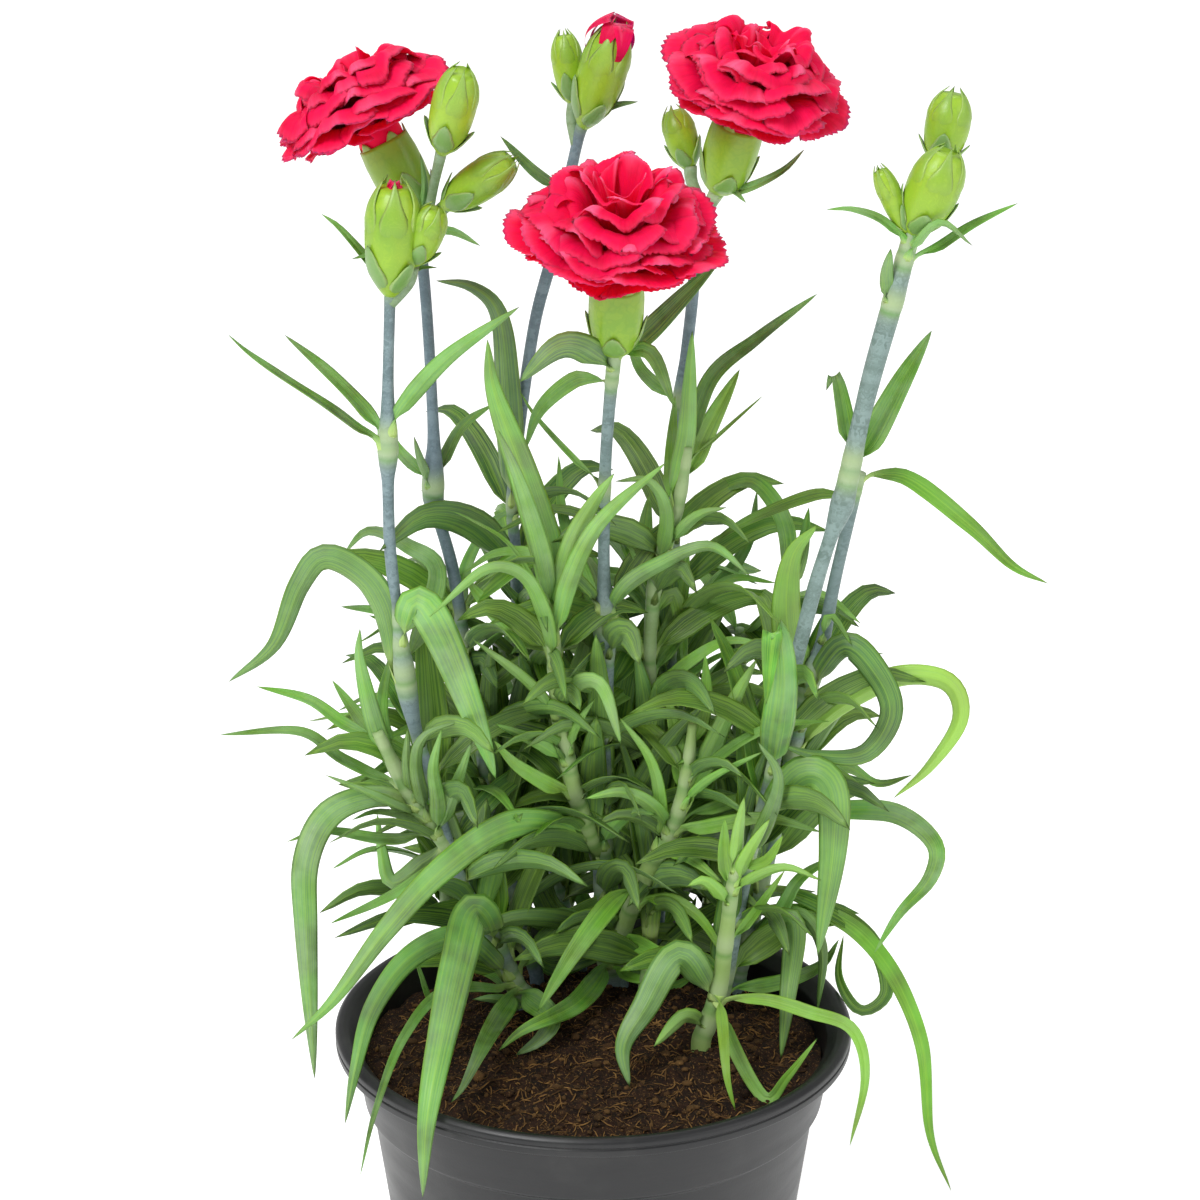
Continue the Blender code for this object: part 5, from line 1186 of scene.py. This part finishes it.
def leaf_look():
    """Green blades with parallel veins, a pale midrib and base, a waxy bloom and yellow-green young parts."""
    look = Look("leaf", 0.42)
    across, along, upper, _ = look.painted("place")
    chance, waxy, young, dark = look.painted("tint")
    off_middle = look.off_middle(across)
    veins = look.streaks(look.times(across, 26.0), look.times(along, 1.6), chance, 2.0)
    coat = look.times(waxy, look.fade(look.noise(140.0, 4.0), 0.25, 0.75))
    base = look.mix(look.fade(look.noise(60.0, 3.0), 0.35, 0.7), colour(LEAF_GREEN), colour(LEAF_DARK))
    # The dark value lays LEAF_DARK: the stems' own leaves get their deeper tone, the inner leaves painted
    # shade.
    base = look.lay(base, LEAF_DARK, dark, 0.75)
    base = look.lay(base, LEAF_YOUNG, young, 0.75)
    base = look.lay(base, LEAF_DARK, look.fade(chance, 0.55, 1.0), 0.45)
    base = look.lay(base, LEAF_WAXY, coat, 0.80)
    base = look.lay(base, LEAF_WAXY, look.rest_of(upper), 0.18)
    base = look.lay(base, LEAF_YOUNG, look.rest_of(look.fade(off_middle, 0.01, 0.06)), 0.16)
    base = look.lay(base, LEAF_YOUNG, look.fade(off_middle, 0.42, 0.5), 0.18)
    base = look.lay(base, LEAF_BASE, look.rest_of(look.fade(along, 0.01, 0.16)), 0.85)
    base = look.lay(base, LEAF_YOUNG, look.fade(veins, 0.42, 0.62), 0.28)
    look.bump(look.math("ADD", veins, look.times(look.noise(900.0, 2.0), 0.3)), 0.00035, 0.5)
    rough = look.math("ADD", 0.36, look.times(waxy, 0.22))
    return look.set(Base_Color=base, Roughness=rough, Specular_IOR_Level=0.45)


def stem_look():
    """Waxy blue-grey stems with pale yellow-green joints and fine streaks."""
    look = Look("stem", 0.5)
    joint, along, _, ring = look.painted("place")
    chance, _, young, dark = look.painted("tint")
    streaks = look.streaks(look.times(look.noise(700.0, 1.0), 4.0), look.times(along, 30.0), chance, 3.0)
    base = look.mix(look.fade(streaks, 0.35, 0.65), colour(STEM_WAXY), colour(STEM_SLATE))
    base = look.lay(base, STEM_SLATE, dark, 0.8)
    base = look.lay(base, STEM_GREEN, young, 1.0)
    base = look.lay(base, SHEATH, joint, 0.85)
    base = look.lay(base, SEPAL_DEEP, ring, 0.55)
    look.bump(look.math("ADD", streaks, look.noise(1400.0, 2.0)), 0.0002, 0.4)
    return look.set(Base_Color=base, Specular_IOR_Level=0.35)


def bud_look():
    """Sepals: bright yellow-green below, greyer towards their tips and pale edges, finely veined."""
    look = Look("bud", 0.36)
    across, along, _, scale = look.painted("place")
    chance, waxy, young, _ = look.painted("tint")
    veins = look.streaks(look.times(look.noise(500.0, 1.0), 6.0), along, chance, 2.0)
    grey_tip = look.times(look.fade(along, 0.45, 1.0), scale)
    rim = look.times(look.fade(look.off_middle(across), 0.34, 0.49), scale)
    base = look.mix(young, colour(SEPAL_DEEP), colour(SEPAL_GREEN))
    base = look.lay(base, SEPAL_DEEP, look.fade(look.noise(90.0, 2.0), 0.4, 0.8), 0.35)
    base = look.lay(base, SEPAL_GREY, waxy, 0.75)
    base = look.lay(base, SEPAL_GREY, grey_tip, 0.8)
    base = look.lay(base, LEAF_BASE, rim, 0.8)
    base = look.lay(base, SEPAL_DEEP, look.fade(veins, 0.45, 0.6), 0.15)
    look.bump(veins, 0.0002, 0.4)
    return look.set(Base_Color=base, Specular_IOR_Level=0.5, Subsurface_Weight=0.15,
                    Subsurface_Radius=(0.7, 1.0, 0.3), Subsurface_Scale=0.0015)


def petal_look():
    """Crimson petals. Painted shade deepens them towards their claws, deep in the bloom, and a painted pink
    highlight lies on the crests of their folds, stronger high in the bloom, leaving the hollows deeper.
    Their toothed edges are pinker.
    """
    look = Look("petal", 0.6)
    across, along, _, fold = look.painted("place")
    chance, _, height, _ = look.painted("tint")
    veins = look.streaks(look.times(across, 40.0), look.times(along, 2.0), chance, 3.0)
    # Painted highlight: pink on the crests of the folds, stronger on petals that stand higher in the bloom.
    crest_highlight = look.math("ADD", 0.20, look.times(height, 0.40))
    base = look.mix(look.fade(look.noise(120.0, 3.0), 0.45, 0.85), colour(PETAL_RED), colour(PETAL_DEEP))
    base = look.lay(base, PETAL_PINK, look.fade(fold, 0.66, 0.92), crest_highlight)
    base = look.lay(base, PETAL_PINK, look.fade(along, 0.84, 1.0), 0.14)
    # Painted shade: deep red towards each petal's claw, where it lies deep in the bloom.
    base = look.lay(base, PETAL_DEEP, look.rest_of(look.fade(along, 0.1, 0.6)), 0.8)
    base = look.lay(base, PETAL_DEEP, look.fade(veins, 0.45, 0.65), 0.22)
    look.bump(veins, 0.0003, 0.35)
    return look.set(Base_Color=base, Specular_IOR_Level=0.12, Sheen_Weight=0.04, Sheen_Roughness=0.4,
                    Sheen_Tint=(1.0, 0.45, 0.6, 1.0), Subsurface_Weight=0.28,
                    Subsurface_Radius=(1.0, 0.10, 0.22), Subsurface_Scale=0.0022)


def pot_look():
    """Black moulded plastic with a satin sheen, fine grain, faint scuffs and dust."""
    look = Look("pot_plastic", 0.38)
    split = look.tree.nodes.new("ShaderNodeSeparateXYZ")
    look.feed(split.inputs[0], look.position)
    x, y, z = split.outputs
    scuffs = look.streaks(look.times(x, 40.0), look.times(y, 40.0), look.times(z, 260.0), 4.0)
    dust = look.fade(look.noise(35.0, 5.0), 0.45, 0.8)
    base = look.lay(colour(POT_BLACK), POT_DUST, dust, 0.22)
    look.bump(look.math("ADD", look.times(look.noise(1800.0, 2.0), 0.5), scuffs), 0.00012, 0.35)
    rough = look.math("ADD", 0.30, look.times(scuffs, 0.22))
    return look.set(Base_Color=base, Roughness=rough, Specular_IOR_Level=0.5)


def soil_look():
    """Damp peat, with brown lumps, golden fibre and pale specks."""
    look = Look("soil", 0.9)
    chance, apart, _, _ = look.painted("tint")
    lumps = look.fade(look.noise(420.0, 6.0, 0.7), 0.36, 0.62)
    specks = look.fade(look.noise(1500.0, 4.0, 0.8), 0.56, 0.66)
    base = look.mix(lumps, colour(SOIL_DARK), colour(SOIL_BROWN))
    base = look.lay(base, FIBRE_GOLD, specks, 0.6)
    base = look.mix(apart, base, look.mix(chance, colour(SOIL_BROWN), colour(FIBRE_GOLD)))
    look.bump(look.noise(1300.0, 6.0, 0.7), 0.0008, 0.8)
    return look.set(Base_Color=base, Specular_IOR_Level=0.25)


def joints_on(path, key):
    """Where leaves grow from a stem, as distances along it."""
    run = run_of(path)
    roots = [leaf[0][0] for leaf in LEAVES.get(key, [])]
    return [run[np.argmin(np.hypot(path[:, 4] - u, path[:, 5] - v))] for u, v in roots]


def fine_stem(shape, path, key, roots, draw):
    """A stem with its swollen joints, painted by how near each ring is to one."""
    count = max(12, int(run_of(path)[-1] / STEM_RING_STEP))
    fine = smooth(path, count)
    run = run_of(fine)
    joint = np.zeros(count)
    ring = np.zeros(count)
    for at in joints_on(path, key):
        joint = np.maximum(joint, np.exp(-((run - at - 1.0) / 3.2) ** 2))
        ring = np.maximum(ring, np.exp(-((run - at + 1.5) / 0.6) ** 2))
    for root in roots:
        at = run[np.argmin(np.linalg.norm(fine[:, :3] - root, axis=1))]
        joint = np.maximum(joint, 0.6 * np.exp(-((run - at - 1.0) / 2.2) ** 2))
        ring = np.maximum(ring, np.exp(-((run - at + 1.0) / 0.6) ** 2))
    young, dark = STEM_LOOKS[key]
    place = np.column_stack([joint, run / 100.0, np.zeros(count), ring])
    radii = fine[:, 3] + 0.18 * joint - 0.10 * ring
    tube(shape, fine[:, :3], radii, place, (draw.random(), 0.0, young, dark), STEM_SIDES)


def fine_stalk(shape, stalk, draw):
    """The side stalk of a bud."""
    rows = smooth([(*seen(u, v, depth), radius) for u, v, depth, radius in stalk], STALK_RINGS)
    blank = np.zeros(STALK_RINGS)
    place = np.column_stack([blank, np.linspace(0, 0.2, STALK_RINGS), blank, blank])
    tube(shape, rows[:, :3], rows[:, 3], place, (draw.random(), 0.0, 0.5, 0.0), STALK_SIDES)


def listed_leaf(shape, path, leaf, push, early, look, draw):
    """A leaf from its picture points, at its settled depth."""
    points, added, width, facing = leaf
    rough = leaf_line(path, points, added, push, early, ROUGH_SAMPLES)
    line = leaf_line(path, points, added, push, early, points_for(rough, FINE_STEP))
    waxy, young, dark = look
    tint = (draw.random(), waxy * draw.uniform(0.7, 1.2), young * draw.uniform(0.7, 1.3),
            dark * draw.uniform(0.8, 1.2))
    fine_leaf(shape, path, line, width, facing, tint, draw)


def crossed_leaf(shape, tree, path, key, line, width, draw):
    """A leaf of a crossed pair, turned as the solid's own leaf is."""
    turn = min(SPINS, key=lambda a: misfit(tree, smooth(spun(line, a), 5)))
    curve = smooth(spun(line, turn), points_for(line, FINE_STEP))
    waxy, young, dark = LEAF_LOOKS[key]
    tint = (draw.random(), waxy, young * draw.uniform(0.4, 1.5), dark * draw.uniform(0.6, 1.4))
    fine_leaf(shape, path, curve, width, 0.0, tint, draw)


def inner_leaf(shape, path, line, width, draw):
    """A leaf of the dense middle, broader than the crossed ones, painted dark as the shade among the stems.
    """
    curve = smooth(line, points_for(line, INNER_STEP))
    # Painted shade: a high dark value darkens these leaves where the middle of the plant lies in shade.
    tint = (draw.random(), draw.uniform(0.0, 0.15), draw.uniform(0.0, 0.25), draw.uniform(0.8, 1.3))
    broad = draw.uniform(1.1, 1.6) * width
    fine_leaf(shape, path, curve, broad, draw.uniform(0.3, 0.9), tint, draw)


def upright_leaves(table, paths, draw):
    """Broad leaves that stand between the stems and are drawn dark, as painted shade: stem, spine points,
    width.
    """
    leaves = []
    for key, (count, length) in table.items():
        path = paths[key]
        for k in range(count):
            root = path[int(draw.uniform(0.04, 0.34) * (len(path) - 1)), :3]
            angle = 2.4 * k + draw.uniform(-0.5, 0.5)
            out = np.array([math.cos(angle), math.sin(angle), 0.0])
            reach = length * draw.uniform(0.6, 1.1)
            lean = draw.uniform(0.10, 0.42)
            line = []
            for s in (0.0, 0.25, 0.5, 0.75, 1.0):
                line.append(root + reach * (lean * s ** 1.5 * out + np.array([0, 0, s - 0.15 * s ** 3])))
            leaves.append((key, line, draw.uniform(4.2, 6.2)))
    return leaves


def solid_tree(node):
    """The solid of a node, ready to be asked for its nearest point."""
    solid = bpy.data.objects[node].data
    places = [v.co.copy() for v in solid.vertices]
    return BVHTree.FromPolygons(places, [tuple(p.vertices) for p in solid.polygons])


def grow_stem(shapes, tree, key, path, roots, draw):
    """One stem with its stalks, buds and listed leaves."""
    fine_stem(shapes["stems"], path, key, roots, draw)
    for stalk in STALKS.get(key, []):
        fine_stalk(shapes["stems"], stalk, draw)
    for index, (root, tip, width) in enumerate(BUDS.get(key, [])):
        shows = OPENING_BUDS.get((key, index))
        fine_bud(shapes["buds"], shapes["petals"], root, tip, width, shows, draw)
    for index, leaf in enumerate(LEAVES.get(key, [])):
        push, early = settle(tree, path, leaf)
        look = LEAF_TINTS.get((key, index), LEAF_LOOKS[key])
        listed_leaf(shapes["leaves"], path, leaf, push, early, look, draw)
    for leaf in SMALL_LEAVES.get(key, []):
        listed_leaf(shapes["leaves"], path, leaf, 0, EARLY_SHARES[0], LEAF_LOOKS[key], draw)


def build_plant_node(node, keys, paths, extra, inner, looks):
    """The stems, leaves and buds of one node, as three pieces, and the petals that its buds show."""
    draw = random.Random(node)
    tree = solid_tree(node)
    shapes = {kind: Shape() for kind in ("stems", "leaves", "buds", "petals")}
    for key in keys:
        roots = [line[0] for other, line, _ in extra + inner if other == key]
        grow_stem(shapes, tree, key, paths[key], roots, draw)
    for key, line, width in extra:
        if key in keys:
            crossed_leaf(shapes["leaves"], tree, paths[key], key, line, width, draw)
    for key, line, width in inner:
        if key in keys:
            inner_leaf(shapes["leaves"], paths[key], line, width, draw)
    for bloom in BLOOMS.values():
        if bloom["stem"] in keys:
            fine_calyx(shapes["buds"], bloom, draw)
    for kind in ("stems", "leaves", "buds"):
        if shapes[kind].count:
            shapes[kind].piece(node + "_" + kind, node, "foliage", looks[kind])
    if shapes["petals"].count:
        shapes["petals"].piece(node + "_bud_petals", node, "petals", looks["petals"])


def turned(name, profile, steps):
    """A profile of (radius, height) in mm turned about the upright, as a closed mesh object."""
    angles = np.linspace(0, 2 * math.pi, steps, endpoint=False)
    rings = [[(r * math.cos(a), r * math.sin(a), z) for a in angles] for r, z in profile]
    points = np.array(rings).reshape(-1, 3) * MM
    faces = []
    for i in range(len(profile)):
        for k in range(steps):
            a, b = i * steps, ((i + 1) % len(profile)) * steps
            faces.append((a + k, b + k, b + (k + 1) % steps, a + (k + 1) % steps))
    mesh = bpy.data.meshes.new(name)
    mesh.from_pydata(points.tolist(), [], faces)
    weld(mesh)
    return placed(name, mesh)


def rounded(points):
    """A profile with its corners rounded where there is room. Points on the axis stay as they are."""
    pts = [np.array(p, float) for p in points]
    made = []
    for i, p in enumerate(pts):
        before, after = pts[i - 1], pts[(i + 1) % len(pts)]
        room = 0.45 * min(np.linalg.norm(p - before), np.linalg.norm(after - p))
        if p[0] < 0.01:
            made.append(tuple(p))
            continue
        cut = min(CORNER_RADIUS, room)
        a = p + unit(before - p) * cut
        c = p + unit(after - p) * cut
        for t in np.linspace(0, 1, CORNER_STEPS + 1):
            made.append(tuple((1 - t) ** 2 * a + 2 * t * (1 - t) * p + t * t * c))
    return made


def pot_profile():
    """Outline of the pot: a rolled lip with a fine groove, a band, a step, a tapering body and a floor."""
    top = POT_HEIGHT
    lip_low = top - LIP_HEIGHT
    floor_radius = FOOT_RADIUS - WALL + BODY_SLOPE * FLOOR_THICKNESS
    return [
        (LIP_RADIUS - LIP_WIDTH, top - 0.7),
        (LIP_RADIUS - 0.62 * LIP_WIDTH, top),
        (LIP_RADIUS - 0.30 * LIP_WIDTH, top),
        (LIP_RADIUS, top - 0.9),
        (LIP_RADIUS, top - 2.1),
        (LIP_RADIUS - 0.30, top - 2.3),
        (LIP_RADIUS - 0.30, top - 2.6),
        (LIP_RADIUS, top - 2.8),
        (LIP_RADIUS - 0.1, lip_low + 0.1),
        (LIP_RADIUS - 0.9, lip_low),
        (BAND_TOP_RADIUS + 0.5, lip_low),
        (BAND_TOP_RADIUS, lip_low - 1.0),
        (BAND_BOTTOM_RADIUS, BAND_END),
        (BODY_TOP_RADIUS, BAND_END - BAND_STEP),
        (FOOT_RADIUS + 0.4, 3.0),
        (FOOT_RADIUS, 0.0),
        (FOOT_RADIUS - 3.0, 0.0),
        (FOOT_RADIUS - 3.6, 0.6),
        (0.0, 0.6),
        (0.0, FLOOR_THICKNESS),
        (floor_radius, FLOOR_THICKNESS),
        (BODY_TOP_RADIUS - WALL, BAND_END - BAND_STEP),
        (BAND_BOTTOM_RADIUS - WALL, BAND_END + 0.4),
        (BAND_TOP_RADIUS - WALL, lip_low + 1.0),
    ]


def drill(pot):
    """Cuts the ring of drain holes through the floor of the pot."""
    profile = [(0.0, -2.0), (DRAIN_RADIUS, -2.0), (DRAIN_RADIUS, 6.0), (0.0, 6.0)]
    cutters = []
    for k in range(DRAIN_COUNT):
        angle = 2 * math.pi * k / DRAIN_COUNT
        x, y = DRAIN_RING_RADIUS * math.cos(angle), DRAIN_RING_RADIUS * math.sin(angle)
        cutter = turned("drain_cutter", profile, DRAIN_SIDES)
        cutter.location = (x * MM, y * MM, 0.0)
        hole = pot.modifiers.new("hole", "BOOLEAN")
        hole.operation = "DIFFERENCE"
        hole.solver = "EXACT"
        hole.object = cutter
        cutters.append(cutter)
    bpy.context.view_layer.update()
    drilled = pot.evaluated_get(bpy.context.evaluated_depsgraph_get())
    mesh = bpy.data.meshes.new_from_object(drilled)
    pot.modifiers.clear()
    pot.data = mesh
    for cutter in cutters:
        bpy.data.objects.remove(cutter)


def build_pot():
    """The nursery pot, with sharp edges where its walls turn."""
    pot = turned("pot_shell", rounded(pot_profile()), POT_STEPS)
    drill(pot)
    pot.data.materials.clear()
    pot.data.materials.append(pot_look())
    pot.data.shade_smooth()
    sharp = pot.modifiers.new("sharp_edges", "EDGE_SPLIT")
    sharp.split_angle = SHARP_ANGLE
    hand_over(pot, "pot")


def pot_inside(z):
    """Inner radius of the pot at a height."""
    if z < BAND_END - BAND_STEP:
        return FOOT_RADIUS - WALL + BODY_SLOPE * z
    share = (z - BAND_END) / (POT_HEIGHT - LIP_HEIGHT - BAND_END)
    return BAND_BOTTOM_RADIUS - WALL + max(0.0, share) * (BAND_TOP_RADIUS - BAND_BOTTOM_RADIUS)


def crumbled(x, y):
    """Height of the soil with its lumps and hollows, in mm."""
    lumps = noise.noise(Vector((x * 0.16, y * 0.16, 3.1))) * 1.1
    crumbs = noise.noise(Vector((x * 0.45, y * 0.45, 8.3))) * 0.9
    grain = noise.noise(Vector((x * 1.3, y * 1.3, 1.7))) * 0.45
    return soil_height(x, y) + lumps + abs(crumbs) + grain


def soil_points(outer):
    """The crumbled top, ring by ring from the middle, and then the rings of the plug below it."""
    points = [(0.0, 0.0, crumbled(0, 0))]
    for ring in range(1, SOIL_RINGS + 1):
        r = outer * ring / SOIL_RINGS
        for k in range(SOIL_SPOKES):
            a = 2 * math.pi * (k + 0.5 * (ring % 2)) / SOIL_SPOKES
            x, y = r * math.cos(a), r * math.sin(a)
            points.append((x, y, crumbled(x, y)))
    for z, gap in PLUG_RINGS:
        inside = pot_inside(z)
        if z < BAND_END:
            inside = min(inside, BODY_TOP_RADIUS - WALL)
        r = inside - gap
        for k in range(SOIL_SPOKES):
            a = 2 * math.pi * k / SOIL_SPOKES
            points.append((r * math.cos(a), r * math.sin(a), z))
    return points


def build_soil(draw):
    """The peat: a crumbled top on a plug that fills the pot, with loose clods and fibres lying on it."""
    outer = pot_inside(SOIL_LEVEL) - SOIL_GAP
    n = SOIL_SPOKES
    last_ring = SOIL_RINGS + len(PLUG_RINGS)
    faces = [(0, 1 + k, 1 + (k + 1) % n) for k in range(n)]
    for ring in range(1, last_ring):
        a, b = 1 + (ring - 1) * n, 1 + ring * n
        faces += [(a + k, b + k, b + (k + 1) % n, a + (k + 1) % n) for k in range(n)]
    last = 1 + (last_ring - 1) * n
    faces.append(tuple(last + k for k in range(n)))
    look = soil_look()
    top = Shape()
    top.add(soil_points(outer), faces, PLAIN, PLAIN)
    top.piece("soil_top", "soil", "soil", look)
    litter = Shape()
    scatter_clods(litter, outer - CLOD_MARGIN, draw)
    scatter_fibres(litter, outer, draw)
    litter.piece("soil_litter", "soil", "soil", look)


def small_ball():
    """Points and faces of a ball that clods are pressed out of."""
    work = bmesh.new()
    bmesh.ops.create_icosphere(work, subdivisions=1, radius=1.0)
    bmesh.ops.subdivide_edges(work, edges=work.edges, cuts=1, use_grid_fill=True)
    points = np.array([unit(np.array(v.co)) for v in work.verts])
    faces = [tuple(v.index for v in f.verts) for f in work.faces]
    work.free()
    return points, faces


def spot_within(reach, draw):
    """A random place within a radius, as likely anywhere in it."""
    angle = draw.uniform(0, 2 * math.pi)
    r = reach * math.sqrt(draw.random())
    return r * math.cos(angle), r * math.sin(angle)


def scatter_clods(litter, reach, draw):
    """Clods of peat that lie on the soil."""
    ball, faces = small_ball()
    for _ in range(CLODS):
        x, y = spot_within(reach, draw)
        size = draw.uniform(0.30, 0.85) * draw.choice([1, 1, 1, 1.6])
        squeeze = np.array([draw.uniform(0.7, 1.3), draw.uniform(0.7, 1.3), draw.uniform(0.5, 0.9)])
        rough = np.array([1 + 0.35 * noise.noise(Vector(p * 1.7) + Vector((x, y, 0))) for p in ball])
        spot = np.array([x, y, crumbled(x, y) + 0.25 * size])
        tint = (draw.random(), 0.35 * draw.random(), 0, 0)
        litter.add(spot + ball * rough[:, None] * squeeze * size, faces, PLAIN, tint)


def scatter_fibres(litter, outer, draw):
    """Fibres that lie on the soil and follow its crumbs."""
    for _ in range(FIBRES):
        x, y = spot_within(outer - FIBRE_MARGIN, draw)
        heading = draw.uniform(0, 2 * math.pi)
        length = draw.uniform(1.2, 4.6)
        bend = draw.uniform(-0.5, 0.5)
        spine = []
        for t in np.linspace(-0.5, 0.5, 5):
            fx = x + length * t * math.cos(heading + bend * t)
            fy = y + length * t * math.sin(heading + bend * t)
            reach = min(1.0, (outer - 1.0) / max(1.0, math.hypot(fx, fy)))
            fx, fy = fx * reach, fy * reach
            spine.append((fx, fy, crumbled(fx, fy) + 0.15 + draw.uniform(0.0, 0.35)))
        thick = draw.uniform(0.08, 0.20)
        radii = [0.3 * thick, thick, thick, thick, 0.3 * thick]
        tube(litter, spine, radii, PLAIN, (draw.random(), draw.uniform(0.5, 1.0), 0, 0), 4)


def build_camera():
    """The camera at the photograph's place: one metre from its target, looking down on the pot."""
    data = bpy.data.cameras.new("camera")
    data.sensor_width = SENSOR
    data.lens = SENSOR * FRAME_LENGTHS
    data.clip_end = 20.0
    camera = placed("camera", data)
    camera.location = Vector(EYE * MM)
    camera.rotation_euler = (math.pi / 2 - VIEW_TILT, 0.0, 0.0)
    bpy.context.scene.camera = camera


def build_floor():
    """A wide pale floor under the pot."""
    mesh = bpy.data.meshes.new("floor")
    half = FLOOR_HALF
    corners = [(-half, -half, 0), (half, -half, 0), (half, half, 0), (-half, half, 0)]
    mesh.from_pydata(corners, [], [(0, 1, 2, 3)])
    look = Look("floor", 0.8)
    look.set(Base_Color=(0.92, 0.92, 0.92, 1.0), Specular_IOR_Level=0.1,
             Emission_Color=(1.0, 1.0, 1.0, 1.0), Emission_Strength=FLOOR_GLOW)
    mesh.materials.append(look.material)
    floor = placed("floor", mesh)


def area_light(name, spot, target, size, power):
    """A square lamp that faces its target."""
    data = bpy.data.lights.new(name, "AREA")
    data.shape = "SQUARE"
    data.size = size
    data.energy = power
    light = placed(name, data)
    light.location = spot
    light.rotation_euler = (Vector(target) - Vector(spot)).to_track_quat("-Z", "Y").to_euler()


def build_light():
    """A bright studio: an even white room, a large key light and a weaker one from the other side."""
    scene = bpy.context.scene
    scene.world = bpy.data.worlds.new("studio")
    scene.world.use_nodes = True
    shade = scene.world.node_tree.nodes["Background"]
    shade.inputs["Color"].default_value = (1.0, 1.0, 1.0, 1.0)
    shade.inputs["Strength"].default_value = ROOM_LIGHT
    middle = (0.0, 0.0, 0.2)
    area_light("key", (-0.9, -1.1, 1.7), middle, 0.9, KEY_POWER)
    area_light("fill", (1.5, -0.9, 0.9), middle, 1.2, FILL_POWER)
    area_light("top", (0.2, 0.6, 1.9), middle, 1.2, TOP_POWER)
    scene.view_settings.view_transform = "Standard"


def main():
    build_camera()
    build_floor()
    build_light()
    draw = random.Random(SEED)
    looks = {"leaves": leaf_look(), "stems": stem_look(), "buds": bud_look(), "petals": petal_look()}
    paths = {key: stem_path(key) for key in STEMS}
    extra = crossed_leaves(CROSSED_PAIRS, paths, random.Random(SEED + 1))
    inner = crossed_leaves(INNER_PAIRS, paths, random.Random(SEED + 2))
    inner += upright_leaves(UPRIGHT_LEAVES, paths, random.Random(SEED + 3))
    for node, keys in NODES.items():
        build_plant_node(node, keys, paths, extra, inner, looks)
    for name, bloom in BLOOMS.items():
        build_bloom(name, bloom, looks["petals"], draw)
    build_pot()
    build_soil(draw)


main()
